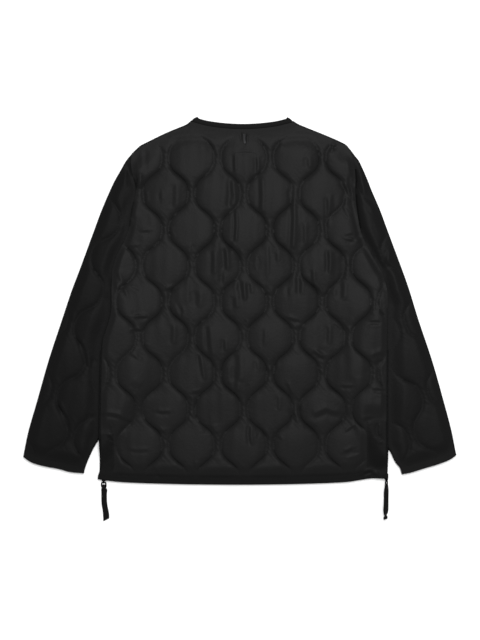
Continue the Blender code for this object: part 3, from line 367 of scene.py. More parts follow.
print("widest cell:", QUILT_PITCH / 2 + 2 * QUILT_SWING, "mm; narrowest:",
      round(QUILT_PITCH / 2 - 2 * QUILT_SWING, 2), "mm")

# %% [markdown]
# ## Creases
# Nylon that has been worn and laid down keeps soft creases. Real ones are uneven, so each is
# listed one by one: a depth, a half width, and the points that it runs through. Its section is a small
# tuck, with a trough on one side and a ridge on the other. A negative depth turns the steep flank away
# from the lamp, so it shows dark, and a positive one turns it to the lamp.

# %% Creases of the back, and the section of a crease
CREASES = (
    (-1.9, 3.1, (-22, 570), (-21, 543), (-23, 514)), (-0.8, 1.9, (-17, 545), (-16, 521)),
    (-1.9, 3.1, (32, 575), (33, 539), (32, 503)), (-1.9, 2, (-15, 513), (-14, 482), (-16, 450)),
    (-1.9, 2.7, (90, 554), (92, 497), (89, 437)), (0.7, 3.1, (100, 530), (101, 474), (99, 418)),
    (-1.3, 2.7, (113, 489), (113, 443)), (-1.3, 3.9, (-127, 562), (-127, 538), (-128, 512)),
    (-0.8, 2.3, (-153, 543), (-153, 530)), (-0.8, 1.9, (-181, 541), (-180, 530)),
    (0.7, 3.1, (-185, 623), (-184, 577)), (-1.9, 3.1, (-194, 569), (-198, 551)),
    (-1.9, 3.1, (-210, 586), (-205, 569), (-199, 552)), (-1.9, 2.3, (-211, 500), (-210, 487)),
    (-1.3, 2.3, (-187, 471), (-175, 472)), (-0.8, 2.3, (-208, 443), (-199, 444)),
    (-0.8, 2.3, (-137, 484), (-134, 469), (-130, 456)), (-0.8, 2.3, (-91, 420), (-91, 413)),
    (0.7, 2.3, (-96, 441), (-96, 433)), (-0.8, 3.1, (-46, 478), (-39, 497)),
    (0.7, 2.3, (-208, 430), (-206, 424)), (-1.3, 2.3, (-233, 394), (-231, 387), (-227, 378)),
    (0.7, 2.3, (-218, 379), (-227, 368)), (-1.3, 2.3, (-223, 365), (-217, 353)),
    (-0.8, 2.3, (-236, 376), (-235, 352)), (-0.8, 2.3, (-203, 366), (-199, 364)),
    (-1.9, 2.3, (-143, 363), (-128, 366)), (-1.3, 3.1, (120, 610), (121, 588)),
    (-1.9, 2.3, (159, 619), (165, 628), (175, 632)), (-1.9, 2, (180, 566), (192, 549), (201, 530)),
    (-0.8, 1.9, (200, 575), (201, 551)), (0.7, 2.3, (194, 575), (195, 551)),
    (-1.3, 2.3, (156, 538), (157, 508), (155, 478)), (0.7, 2.7, (166, 543), (167, 512)),
    (-0.8, 2.3, (189, 536), (189, 528)), (-0.8, 2.3, (188, 510), (193, 502)),
    (-1.3, 2.3, (191, 457), (203, 454)), (-0.8, 2, (188, 463), (205, 467)),
    (-1.3, 2.3, (205, 452), (218, 463)), (0.7, 2, (193, 460), (206, 459)),
    (-1.3, 2.7, (-57, 438), (-56, 418), (-57, 389)), (-1.9, 2.7, (-34, 443), (-32, 420), (-31, 397)),
    (-0.8, 2.3, (-37, 393), (-37, 374)), (1.1, 3.9, (-45, 456), (-44, 415), (-45, 372)),
    (-0.8, 2.3, (-20, 446), (-20, 439)), (-0.8, 2.3, (-5, 430), (-5, 422)),
    (-1.9, 2.7, (-3, 381), (-1, 363), (1, 342)), (0.7, 2.3, (6, 381), (7, 339)),
    (-1.3, 3.1, (-16, 352), (-15, 327)), (0.7, 2.3, (-11, 379), (-11, 368)),
    (-0.8, 2.3, (13, 369), (14, 362)), (-0.8, 2.3, (31, 373), (35, 367)),
    (-0.8, 2.3, (46, 357), (53, 355)), (0.7, 2.3, (48, 448), (49, 415), (48, 383)),
    (-0.8, 2.3, (39, 294), (38, 257)), (0.7, 2.3, (26, 418), (26, 408)),
    (-0.8, 2.3, (62, 433), (62, 415)), (-0.8, 2.3, (85, 368), (85, 352)),
    (-1.3, 2.7, (106, 398), (107, 376), (106, 352)), (0.7, 2.7, (98, 400), (98, 352)),
    (-1.3, 2.3, (128, 402), (129, 374)), (-1.3, 2.3, (134, 370), (142, 362)),
    (-1.9, 2.3, (158, 439), (159, 415), (158, 391)), (0.7, 3.1, (168, 437), (169, 409), (167, 381)),
    (-1.3, 3.9, (188, 428), (188, 404), (187, 381)), (-0.8, 2.3, (156, 359), (147, 353)),
    (-1.9, 3.5, (184, 381), (185, 363), (184, 342)), (0.7, 2.3, (172, 366), (172, 352)),
    (-1.3, 3.9, (-85, 363), (-84, 346), (-86, 329)), (0.7, 3.1, (-99, 389), (-99, 363), (-100, 335)),
    (0.7, 2.3, (-126, 339), (-121, 327), (-115, 315)), (-0.8, 2.3, (-113, 324), (-113, 318)),
    (1.1, 2.3, (255, 353), (256, 335), (255, 316)), (-0.8, 2, (249, 352), (250, 318)),
    (0.7, 2, (244, 348), (245, 322)), (-0.8, 2.3, (263, 370), (266, 365)),
    (-1.9, 2.3, (-194, 312), (-185, 312)), (0.7, 2.3, (-200, 316), (-196, 316)),
    (-1.9, 2.3, (-201, 288), (-193, 288)), (-1.3, 3.1, (-131, 301), (-131, 281), (-132, 260)),
    (-0.8, 2.3, (-206, 242), (-202, 239)), (0.7, 2.3, (-193, 241), (-189, 238)),
    (-1.3, 2.3, (-83, 247), (-78, 221), (-73, 193)), (0.7, 3.1, (-96, 307), (-95, 288)),
    (-1.3, 3.1, (-66, 298), (-63, 260), (-59, 236)), (0.7, 3.1, (-72, 298), (-71, 273), (-72, 251)),
    (-1.3, 2.3, (-35, 272), (-34, 247)), (-1.9, 4.7, (-10, 247), (-9, 218), (-11, 190)),
    (-1.3, 3.1, (-12, 192), (-14, 175)), (0.7, 3.1, (-22, 223), (-22, 186)),
    (-0.8, 2.3, (25, 231), (26, 214)), (-0.8, 2.3, (12, 182), (13, 172)), (-0.8, 2.3, (6, 299), (6, 292)),
    (-1.3, 2.3, (87, 309), (98, 306)), (-0.8, 2.3, (99, 292), (108, 292)),
    (-0.8, 2.3, (42, 223), (46, 216), (52, 222)), (0.7, 2.3, (50, 225), (51, 219)),
    (-0.8, 2.3, (61, 231), (61, 223)), (-1.3, 2.3, (80, 192), (86, 179), (93, 164)),
    (-1.3, 2.7, (158, 298), (158, 281), (157, 260)), (-1.9, 2.3, (129, 250), (142, 240), (153, 235)),
    (0.7, 2.7, (138, 250), (151, 245)), (-0.8, 2.3, (175, 296), (179, 292)),
    (-0.8, 2.3, (192, 292), (199, 279)), (-1.3, 2, (232, 304), (244, 305), (255, 304)),
    (0.7, 2, (232, 299), (254, 299)), (1.1, 4.7, (240, 226), (255, 238)),
    (-1.3, 3.1, (234, 236), (247, 243), (262, 246)), (-1.3, 2.7, (258, 232), (254, 225), (248, 220)),
    (0.7, 2.7, (256, 223), (258, 212)), (-1.3, 2.3, (247, 179), (257, 178)),
    (0.7, 2.3, (251, 171), (257, 171)), (-1.3, 2, (182, 184), (193, 183), (203, 184)),
    (-0.8, 5.5, (205, 205), (206, 177)), (-0.8, 2.3, (143, 212), (151, 205)),
    (-0.8, 5.5, (-208, 193), (-193, 180)), (-1.3, 2.3, (-94, 171), (-79, 174)),
    (-0.8, 2.3, (-97, 167), (-93, 145)), (0.7, 2.3, (-92, 153), (-91, 147)),
    (-1.3, 2.3, (-162, 137), (-149, 135), (-134, 136)),
    (-1.9, 2.7, (-275, 130), (-259, 133), (-244, 132), (-231, 129), (-216, 121), (-203, 117)),
    (1.1, 7, (-236, 106), (-221, 110)), (-0.8, 2.3, (-246, 108), (-244, 100)),
    (-1.3, 2.3, (-246, 90), (-244, 87)), (-0.8, 2.3, (-244, 78), (-241, 76)),
    (-0.8, 2.3, (-214, 66), (-193, 64), (-173, 65)), (-1.3, 2.3, (-157, 103), (-144, 98)),
    (-0.8, 2.3, (-143, 91), (-141, 86)), (-0.8, 2.3, (-97, 132), (-94, 128)),
    (-0.8, 2.3, (-102, 125), (-99, 121)), (-0.8, 2.3, (-161, 27), (-158, 22)),
    (-0.8, 2.3, (-89, 39), (-87, 32)), (-1.9, 2.3, (13, 113), (12, 93), (15, 73)),
    (0.7, 3.1, (24, 108), (25, 97)), (-0.8, 2.3, (63, 93), (67, 89)), (-0.8, 2.3, (40, 100), (43, 96)),
    (-1.3, 5.5, (-60, 113), (-57, 95)), (-1.3, 2.3, (87, 145), (95, 132), (100, 113)),
    (-0.8, 2.3, (104, 158), (106, 147)), (0.7, 2.3, (96, 151), (103, 134)),
    (-0.8, 2.3, (65, 158), (65, 147)),
    (-1.9, 3.9, (128, 128), (143, 134), (154, 139), (167, 134), (182, 131)),
    (-0.8, 4.7, (113, 115), (138, 109)), (-1.3, 2.3, (188, 61), (203, 68)),
    (0.7, 2.3, (199, 55), (209, 58)), (-1.3, 2.3, (223, 123), (238, 126)),
    (-1.3, 2.3, (196, 103), (203, 108)), (-0.8, 2.3, (251, 108), (251, 99)),
    (0.7, 2.3, (251, 87), (255, 84)),
    (-0.7, 3.4, (-140, 642), (-121, 645), (-99, 647), (-78, 646), (-67, 641), (-58, 629), (-54, 612)),
    (-0.7, 3.4, (60, 614), (62, 625), (71, 636), (83, 644), (99, 646), (123, 646), (141, 641)),
    (-2.4, 4.5, (206, 560), (208, 520), (212, 490), (219, 468), (230, 448), (241, 428), (252, 410),
     (262, 394)),
    (-4.2, 3.6, (-197, 582), (-196, 568), (-199, 553)),
    (-2.6, 4.0, (-201, 551), (-204, 522), (-208, 494)),
    (-1.5, 1.3, (-2.2, 652), (-1.6, 646), (-0.4, 640)), (-1.5, 1.3, (6.3, 652), (5.6, 645), (5.4, 634)),
    (-0.7, 1.4, (-11, 618), (2, 619), (16, 618)), (-1.3, 2, (-17, 616), (-17, 599), (-16, 579)),
    (-1.3, 2, (25, 612), (26, 593), (25, 577)), (-1.3, 2.3, (225, 21), (236, 25), (247, 20)),
    (-0.8, 2, (229, 16), (242, 19)), (0.7, 2, (231, 19), (240, 22)),
)
SLEEVE_CREASES = {
    "left": (
        (-2.2, 3.0, (-212, 602), (-210, 588), (-206, 572)),
        (-1.6, 2.4, (-304, 272), (-296, 247), (-285, 216)),
        (-1.6, 2.4, (-282, 196), (-273, 180), (-266, 160)),
        (-1.6, 2.4, (-345, 157), (-335, 134), (-322, 103)),
        (-1.0, 3.5, (-293, 117), (-281, 127), (-268, 135)), (-1.0, 2.6, (-270, 231), (-268, 228)),
        (-1.2, 6.0, (-213, 560), (-211, 520), (-218, 480)),
        (0.7, 3.1, (-246, 391), (-245, 353), (-246, 320)), (-0.8, 2.3, (-260, 303), (-247, 296)),
        (-0.8, 2.3, (-272, 232), (-268, 230)), (-0.8, 2.3, (-260, 262), (-246, 253)),
    ),
    "right": (
        (-2.4, 4.5, (211, 590), (213, 560), (215, 515), (222, 482), (237, 452), (254, 422), (266, 402)),
        (-1.3, 2.3, (232, 519), (239, 507)), (-0.8, 2.3, (222, 560), (222, 541)),
        (-1.3, 2.7, (269, 438), (266, 415)), (-0.8, 2.3, (264, 79), (268, 76)),
    ),
}
CREASE_DEPTH = 0.72              # share of the table's depths that shows
CREASE_WIDEN = 1.4               # padded cloth spreads a crease out by this much
CREASE_FADE = 12.0               # distance over which a long crease fades in and out


def crease_relief(x, y, table, strength=1.0):
    """Height that a table of creases adds to the cloth."""
    relief = np.zeros(len(x))
    for depth, width, *points in table:
        path = np.array(points, dtype=float)
        reach = 4.5 * width
        near = (x > path[:, 0].min() - reach) & (x < path[:, 0].max() + reach)
        near &= (y > path[:, 1].min() - reach) & (y < path[:, 1].max() + reach)
        if not near.any():
            continue
        away, along, beside = nearest_on(path, x[near], y[near])
        length = float(np.sum(np.hypot(*np.diff(path, axis=0).T)))
        soft = min(0.35 * length, CREASE_FADE)
        ends = ease((along + 2.0) / soft) * ease((length - along + 2.0) / soft)
        ends = ends if length > CREASE_FADE else 1.0
        wide = CREASE_WIDEN * width
        section = beside * away / wide * np.exp(0.5 - 0.5 * (away / wide) ** 2)
        relief[near] -= CREASE_DEPTH * strength * depth * section * ends
    return relief


print("creases on the back:", len(CREASES))

# %% [markdown]
# ## Finer unevenness
# Between the creases no cloth is quite even. Three sums of sine waves add this, each with its own
# wavelengths in millimetres. They need no random numbers, so the jacket is the same in each run.

# %% Drape, puckers and sway
def drape(x, y):
    """Slow upright waves, where the padded cloth is wider than its lining."""
    wander = 7.0 * np.sin(y / 61.0) + 4.0 * np.sin(y / 23.0 + x / 90.0)
    wave = np.sin((x + wander) / 4.3) * np.sin((x - 0.6 * wander) / 15.0 + 1.0)
    return 0.4 * wave * (0.6 + 0.4 * np.sin(y / 71.0 + x / 45.0))


def pucker(x, y, area):
    """Small ripples that the thread pulls up beside each row of quilting."""
    u, v = to_pattern(x, y, area)
    away = row_distance(x, y, area)
    ripple = np.sin(v / 1.9 + 2.6 * np.sin(u / 13.0) + 1.9 * np.sin(v / 29.0)) * np.sin(v / 6.7 + u / 9.0)
    return 0.24 * ripple * np.exp(-(away / 9.0) ** 2) * (1.0 - np.exp(-(away / 3.0) ** 2))


def sway(x, y):
    """Slow unevenness of the wadding, so that no two cells are alike."""
    return np.sin(x / 31.0 + 1.3 * np.sin(y / 47.0)) * np.sin(y / 37.0 + 1.7 * np.sin(x / 53.0))


print("drape at the middle of the back:", round(float(drape(0.0, 335.0)), 3), "mm")

# %% [markdown]
# ## Materials: where each finish comes from
# Every material starts from a real finish. Colours are written as sRGB hex values, as a paint chart
# gives them, and one function turns them into the linear light values that a shader needs. One
# helper adds any node with its settings and links.

# %% Colour and node helpers
def linear(hex_colour):
    """sRGB hex to linear red, green, blue and alpha."""
    parts = [int(hex_colour[i:i + 2], 16) / 255.0 for i in (1, 3, 5)]
    return tuple(p / 12.92 if p <= 0.04045 else ((p + 0.055) / 1.055) ** 2.4 for p in parts) + (1.0,)


def add_node(tree, kind, settings=None, **inputs):
    """A node of any kind. Inputs are values, or sockets that are linked in; _ stands for a space."""
    made = tree.nodes.new(kind)
    for name, value in (settings or {}).items():
        setattr(made, name, value)
    for name, value in inputs.items():
        socket = made.inputs[int(name[2:])] if name.startswith("in") else made.inputs[name.replace("_", " ")]
        if isinstance(value, bpy.types.NodeSocket):
            tree.links.new(value, socket)
        else:
            socket.default_value = value
    return made


def new_material(name, **constants):
    """A material with its shader's fixed values set on the shader's own sockets."""
    made = bpy.data.materials.new(name)
    made.use_nodes = True
    shader = made.node_tree.nodes["Principled BSDF"]
    for socket, value in constants.items():
        shader.inputs[socket.replace("_", " ")].default_value = value
    return made, made.node_tree, shader


def wave_scale(period_mm):
    """Scale of a wave texture whose bands repeat at that distance."""
    return 2 * math.pi / 20.0 / (period_mm * MM)


def noise_scale(size_mm):
    """Scale of a noise texture whose spots are about that far apart."""
    return 1.0 / (size_mm * MM)


print("a black of #202023 is", [round(c, 4) for c in linear("#202023")[:3]])

# %% [markdown]
# ## Quilted nylon taffeta
# The shell is a thin, tightly woven black nylon with a soft glaze from calendering: dark in itself,
# with a broad weak shine where it faces the lamp. The threads are 0.2 mm apart, too fine to see, so
# the weave is drawn at 1.1 mm. A finer noise stands for the small crinkles between stitches. Where
# the cloth is folded double and flat, as at a hem, a darker tone is painted. It is partly the closed
# weave and partly painted shade for the shine that those flat bands miss. Below the neck binding the
# same tone is a painted shadow.

# %% Nylon taffeta for the body and the sleeves
WEAVE_MM = 1.1
CRINKLE_MM = 5.263
DYE_MM = 71.43                   # slow unevenness of the dye
NYLON_IOR = 1.53
# darker tone of flattened bands, partly painted shade, and of the painted shadow below the neck binding
PRESSED_AND_SHADE_TONE = "#0d0d0d"


def nylon_taffeta(name, dark, light, shine, grain_turn):
    """Calendered nylon: near black, with a weak broad shine on whatever faces the lamp."""
    made, tree, shader = new_material(name, Roughness=0.47, IOR=NYLON_IOR, Specular_IOR_Level=shine)
    place = add_node(tree, "ShaderNodeTexCoord").outputs["Object"]
    turned = add_node(tree, "ShaderNodeMapping", Vector=place, Rotation=(0.0, 0.0, grain_turn)).outputs[0]
    warp, weft = (add_node(tree, "ShaderNodeTexWave", {"bands_direction": way}, Vector=turned,
                           Scale=wave_scale(WEAVE_MM), Distortion=0.4, Detail=1.0).outputs["Fac"]
                  for way in "XY")
    weave = add_node(tree, "ShaderNodeMath", {"operation": "MULTIPLY"}, in0=warp, in1=weft)
    crinkle = add_node(tree, "ShaderNodeTexNoise", Vector=place, Scale=noise_scale(CRINKLE_MM), Detail=4.0,
                       Roughness=0.55)
    shade = add_node(tree, "ShaderNodeTexNoise", Vector=place, Scale=noise_scale(DYE_MM), Detail=2.0)
    cloth_tone = add_node(tree, "ShaderNodeMix", {"data_type": "RGBA"}, in0=shade.outputs["Fac"],
                          in6=linear(dark), in7=linear(light))
    # share of the darker tone: flattened bands, partly painted shade, and a painted shadow below the neck
    # binding
    pressed_and_shaded = add_node(tree, "ShaderNodeAttribute", {"attribute_name": "pressed_and_shaded"}).outputs["Fac"]
    colour = add_node(tree, "ShaderNodeMix", {"data_type": "RGBA"}, in0=pressed_and_shaded,
                      in6=cloth_tone.outputs[2], in7=linear(PRESSED_AND_SHADE_TONE))
    woven = add_node(tree, "ShaderNodeBump", Strength=0.12, Distance=0.2 * MM, Height=weave.outputs[0])
    creased = add_node(tree, "ShaderNodeBump", Strength=0.35, Distance=0.9 * MM,
                       Height=crinkle.outputs["Fac"], Normal=woven.outputs[0])
    tree.links.new(colour.outputs[2], shader.inputs["Base Color"])
    tree.links.new(creased.outputs[0], shader.inputs["Normal"])
    return made


# the sleeves are the body's nylon, running down along the arm, with its tones painted darker as shade,
# the left sleeve more than the right, and with less shine as well
BODY_NYLON = nylon_taffeta("nylon_taffeta_body", "#131313", "#161616", 0.043, 0.0)
SHADED_SLEEVE_NYLON = {"left": nylon_taffeta("nylon_taffeta_left_sleeve", "#0f0f0f", "#111111", 0.0245, 0.242),
                "right": nylon_taffeta("nylon_taffeta_right_sleeve", "#101010", "#131313", 0.0295, -0.325)}
print("materials so far:", len(bpy.data.materials))

# %% [markdown]
# ## Tape and thread
# The neck and the pull tabs are woven nylon tape: matt, with fine ribs across. The hanging loop is
# satin, and the thread is twisted polyester. All are drawn as ribs under a finer fuzz, because that
# is what breaks up the shine of a narrow woven thing.

# %% Woven tapes and thread
FUZZ_MM = 1.111                  # fibres are far finer, and this is as coarse as they need to show


def ribbed_tape(name, colour, rib_mm, along, level):
    """Woven tape: ribs give it a fine broken shine."""
    made, tree, shader = new_material(name, Roughness=0.7, IOR=NYLON_IOR, Specular_IOR_Level=level)
    place = add_node(tree, "ShaderNodeTexCoord").outputs["Object"]
    ribs = add_node(tree, "ShaderNodeTexWave", {"bands_direction": along}, Vector=place,
                    Scale=wave_scale(rib_mm), Distortion=0.6, Detail=1.0)
    fuzz = add_node(tree, "ShaderNodeTexNoise", Vector=place, Scale=noise_scale(FUZZ_MM), Detail=3.0)
    raised = add_node(tree, "ShaderNodeBump", Strength=0.4, Distance=0.3 * MM, Height=ribs.outputs["Fac"])
    rough = add_node(tree, "ShaderNodeBump", Strength=0.3, Distance=0.2 * MM, Height=fuzz.outputs["Fac"],
                     Normal=raised.outputs[0])
    mixed = add_node(tree, "ShaderNodeMix", {"data_type": "RGBA"}, in0=fuzz.outputs["Fac"],
                     in6=linear(colour), in7=tuple(c * 1.35 for c in linear(colour)[:3]) + (1.0,))
    tree.links.new(mixed.outputs[2], shader.inputs["Base Color"])
    tree.links.new(rough.outputs[0], shader.inputs["Normal"])
    return made


# grosgrain: a soft matt black, ribbed across
NECK_TAPE = ribbed_tape("grosgrain_neck_tape", "#0a0a0a", 1.3, "X", 0.07)
# satin: long floats on its face catch a bright line of light
LOOP_TAPE = ribbed_tape("satin_hanging_loop", "#1a1a1c", 0.9, "Y", 0.4)
# herringbone: the deepest black, with almost no shine
PULL_TAPE = ribbed_tape("herringbone_pull_tape", "#080808", 1.1, "Y", 0.06)
# plain weave, a shade lighter than the teeth on it
ZIP_TAPE = ribbed_tape("woven_zip_tape", "#101011", 0.8, "Y", 0.15)
# twisted thread: each stitch is a dark dash with slanting plies
THREAD = ribbed_tape("twisted_polyester_thread", "#0b0b0c", 0.5, "DIAGONAL", 0.05)
print("materials so far:", len(bpy.data.materials))

# %% [markdown]
# ## Zip and metal
# The zip teeth are moulded acetal, which is even and slightly waxy. The sliders, the pullers and the
# press studs are plated and then tumbled, so their highlights are blurred by marks too fine to see.

# %% Moulded acetal and dark plating
SKIN_MM = 0.9091
TUMBLING_MM = 0.7143
EDGE_TONE = "#3c3d40"            # dark plating stays dark at glancing angles too


def plated_metal(name, colour, roughness):
    """Plated zinc or brass: smooth, with faint tumbling marks that blur its highlights."""
    made, tree, shader = new_material(name, Metallic=1.0, Base_Color=linear(colour),
                                      Specular_Tint=linear(EDGE_TONE))
    place = add_node(tree, "ShaderNodeTexCoord").outputs["Object"]
    marks = add_node(tree, "ShaderNodeTexNoise", Vector=place, Scale=noise_scale(TUMBLING_MM), Detail=3.0)
    spread = add_node(tree, "ShaderNodeMapRange", Value=marks.outputs["Fac"], To_Min=roughness - 0.06,
                      To_Max=roughness + 0.08)
    bump = add_node(tree, "ShaderNodeBump", Strength=0.15, Distance=0.1 * MM, Height=marks.outputs["Fac"])
    tree.links.new(spread.outputs[0], shader.inputs["Roughness"])
    tree.links.new(bump.outputs[0], shader.inputs["Normal"])
    return made


def moulded_acetal(name, colour):
    """Moulded acetal: an even, slightly waxy black."""
    made, tree, shader = new_material(name, Roughness=0.6, IOR=1.48, Specular_IOR_Level=0.05)
    place = add_node(tree, "ShaderNodeTexCoord").outputs["Object"]
    skin_noise = add_node(tree, "ShaderNodeTexNoise", Vector=place, Scale=noise_scale(SKIN_MM), Detail=2.0)
    mixed = add_node(tree, "ShaderNodeMix", {"data_type": "RGBA"}, in0=skin_noise.outputs["Fac"],
                     in6=linear(colour), in7=tuple(c * 1.5 for c in linear(colour)[:3]) + (1.0,))
    bump = add_node(tree, "ShaderNodeBump", Strength=0.1, Distance=0.1 * MM,
                    Height=skin_noise.outputs["Fac"])
    tree.links.new(mixed.outputs[2], shader.inputs["Base Color"])
    tree.links.new(bump.outputs[0], shader.inputs["Normal"])
    return made


ZIP_ACETAL = moulded_acetal("moulded_acetal_teeth", "#060606")
# black nickel: almost as dark as the tape beside it
ZINC = plated_metal("black_nickel_plated_zinc", "#0c0c0d", 0.34)
# thinner plating on brass: a grey that still reads as metal
BRASS = plated_metal("black_plated_brass", "#4a4b4e", 0.34)
print("materials:", len(bpy.data.materials))

# %% [markdown]
# ## Making cloth from an outline
# A pattern piece becomes a mesh in three steps: rings along its rounded edge, points spread over
# both faces, and triangles through them all. First comes a loop of points that also says how round
# the edge is at each: full at a fold, half at a hem, and next to nothing at a seam.

# %% Loops with a shaped edge
ROUNDNESS = {"fold": 1.0, "hem": 0.5, "seam": 0.05}
ROUND_STEP = 0.05                # how much it may change from one point to the next


def outline(*edges):
    """Join edges, each a path and its kind, into one loop of x, y and roundness."""
    loop = [[x, y, ROUNDNESS[kind]] for path, kind in edges for x, y in path[:-1]]
    kinds = [row[2] for row in loop]
    for i, row in enumerate(loop):
        row[2] = min(kinds[i], kinds[i - 1])
    for order in (range(2 * len(loop)), range(2 * len(loop), 0, -1)):
        before = 1.0
        for i in order:
            row = loop[i % len(loop)]
            row[2] = before = min(row[2], before + ROUND_STEP)
    return np.array(loop)


def inward(loop):
    """Vectors that point into a loop that runs anticlockwise, longer at sharp corners."""
    ahead = np.roll(loop, -1, axis=0) - loop
    ahead /= np.linalg.norm(ahead, axis=1)[:, None]
    behind = np.roll(ahead, 1, axis=0)
    normal = np.column_stack([-(ahead + behind)[:, 1], (ahead + behind)[:, 0]])
    normal /= np.linalg.norm(normal, axis=1)[:, None]
    stretch = np.clip(np.sum(normal * np.column_stack([-ahead[:, 1], ahead[:, 0]]), axis=1), 0.6, 1.0)
    return normal / stretch[:, None]


print("kinds of edge:", ", ".join(ROUNDNESS))

# %% [markdown]
# ## Points over a face
# The faces get an even triangular lattice, which bends alike in every direction. The rows of quilting
# go in as fixed lines, so that the stitching stays sharp, and the lattice keeps clear of them.

# %% Lattice and sewn rows
EDGE_CLEAR, ROW_CLEAR = 0.45, 0.55     # of a lattice step, from the edge and from a sewn row


def spread_points(loop, step, runs=(), area=None):
    """A triangular lattice inside a loop, clear of its edge and of the sewn rows."""
    low, high = loop[:, :2].min(axis=0), loop[:, :2].max(axis=0)
    rows = np.arange(low[1], high[1], step * math.sqrt(3) / 2)
    columns = np.arange(low[0], high[0], step)
    x = (columns[None, :] + (np.arange(len(rows)) % 2)[:, None] * step / 2).ravel()
    y = np.repeat(rows, len(columns))
    keep = inside(loop, x, y)
    x, y = x[keep], y[keep]
    keep = distance(loop, x, y, closed=True) > 2.4 + EDGE_CLEAR * step
    if area:
        keep &= row_distance(x, y, area) > ROW_CLEAR * step
    for run in runs:
        box = (x > run[:, 0].min() - step) & (x < run[:, 0].max() + step)
        box &= (y > run[:, 1].min() - step) & (y < run[:, 1].max() + step) & keep
        keep[box] = distance(run, x[box], y[box]) > ROW_CLEAR * step
    return np.column_stack([x, y])[keep]


def split_runs(points, ok):
    """Stretches of a row where it can be used."""
    runs, run = [], []
    for point, good in zip(points, ok):
        if good:
            run.append(point)
        elif run:
            runs.append(run)
            run = []
    runs.append(run)
    return [np.array(run) for run in runs if len(run) > 2]


def quilt_runs(loop, area, strength, step=RIM_STEP, clear_of=()):
    """The rows of quilting that cross a loop, as runs of points."""
    u, v = to_pattern(loop[:, 0], loop[:, 1], area)
    heights = np.arange(v.min(), v.max(), step)
    first, last = math.floor(2 * u.min() / QUILT_PITCH) - 1, math.ceil(2 * u.max() / QUILT_PITCH)
    runs = []
    for number in range(first, last + 1):
        x, y = from_pattern(quilt_row(number, heights), heights, area)
        ok = inside(loop, x, y)
        ok[ok] = (distance(loop, x[ok], y[ok], closed=True) > 4.8) & (strength(x[ok], y[ok]) > 0.04)
        for line in clear_of:
            ok[ok] = distance(line, x[ok], y[ok]) > 1.6
        runs += split_runs(np.column_stack([x, y]), ok)
    return runs


SQUARE = np.array(((0.0, 0.0), (100.0, 0.0), (100.0, 100.0), (0.0, 100.0)))
print("points 10 mm apart in a test square:", len(spread_points(SQUARE, 10.0)))

# %% [markdown]
# ## Triangles through all the points
# A constrained Delaunay triangulation joins the points and keeps the fixed lines as edges, and it is
# quick. It also fills the hollows of an outline, so the triangles that count are found by walking
# from neighbour to neighbour inside the ring, never across it.

# %% Fill a ring
def fill(ring, points, runs):
    """Triangles over a ring, its loose points and its runs of joined points."""
    count = len(ring)
    spots = np.vstack([ring, points] + list(runs))
    edges = [(i, (i + 1) % count) for i in range(count)]
    first = count + len(points)
    for run in runs:
        edges += [(first + i, first + i + 1) for i in range(len(run) - 1)]
        first += len(run)
    result = delaunay_2d_cdt([Vector(spot) for spot in spots], edges, [], 0, 1e-5, True)
    places = np.array([(p.x, p.y) for p in result[0]])
    extra = []
    source = np.zeros(len(places), dtype=int)
    for i, origin in enumerate(result[3]):
        source[i] = origin[0] if origin else len(spots) + len(extra)
        if not origin:
            extra.append(places[i])
    if extra:
        spots = np.vstack([spots, extra])
    triangles = np.array([list(face) for face in result[2]])
    a, b, c = (places[triangles[:, k]] for k in range(3))
    turn = (b - a)[:, 0] * (c - a)[:, 1] - (b - a)[:, 1] * (c - a)[:, 0]
    triangles = np.where((turn > 0)[:, None], triangles, triangles[:, ::-1])
    middle = places[triangles].mean(axis=1)
    named = source[triangles]
    seed = int(np.argmax(np.where(inside(np.asarray(ring), middle[:, 0], middle[:, 1]), abs(turn), 0.0)))
    total = len(spots)
    pairs = np.stack([named, np.roll(named, -1, axis=1)], axis=2).reshape(-1, 2)
    keys = pairs.min(axis=1) * total + pairs.max(axis=1)
    rim = np.array([min(edge) * total + max(edge) for edge in edges[:count]])
    order = np.argsort(keys, kind="stable")
    same = np.flatnonzero(keys[order][1:] == keys[order][:-1])
    beside = -np.ones(len(keys), dtype=int)
    beside[order[same]] = order[same + 1] // 3
    beside[order[same + 1]] = order[same] // 3
    beside[np.isin(keys, rim)] = -1
    beside = beside.reshape(-1, 3).tolist()
    reached = np.zeros(len(named), dtype=bool)
    reached[seed] = True
    waiting = [seed]
    while waiting:
        for other in beside[waiting.pop()]:
            if other >= 0 and not reached[other]:
                reached[other] = True
                waiting.append(other)
    return spots[count:], named[reached]


print("triangles in the test square:", len(fill(SQUARE, spread_points(SQUARE, 10.0), [])[1]))

# %% [markdown]
# ## From points to pieces
# Each mesh becomes an object that rides on a body of the jacket and hides the plain solids that it
# stands for. Cloth is closed all round: a lower face, rings along its shaped edge, and an upper face.

# %% Pieces, and closed cloth
SEWN_GAP = 0.02                  # an edge is drawn in by this much, so that no two pieces share a face
SHARP_ANGLE = math.radians(58)


def make_piece(name, spots, faces, material, slot=None, stands_for=(), body="jacket"):
    """A mesh in the scene from points in millimetres in the garment's frame."""
    moved = (np.asarray(spots, dtype=float) + (SHIFT[0], SHIFT[1], 0.0)) * MM
    mesh = bpy.data.meshes.new(name)
    mesh.from_pydata(moved.tolist(), [], [list(face) for face in faces])
    mesh.validate()
    mesh.shade_smooth()
    mesh.materials.append(material)
    made = bpy.data.objects.new(name, mesh)
    scene.collection.objects.link(made)
    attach(made, body)
    if stands_for:
        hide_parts(*stands_for)
    return made


def places_of(piece):
    """The points of a piece, in metres."""
    flat = np.zeros(len(piece.data.vertices) * 3)
    piece.data.vertices.foreach_get("co", flat)
    return flat.reshape(-1, 3)


def tell(piece):
    """Prints a piece's triangles and size."""
    piece.data.calc_loop_triangles()
    size = np.ptp(places_of(piece), axis=0) / MM
    print(f"{piece.name}: {len(piece.data.loop_triangles)} triangles, {size.round(1)} mm")


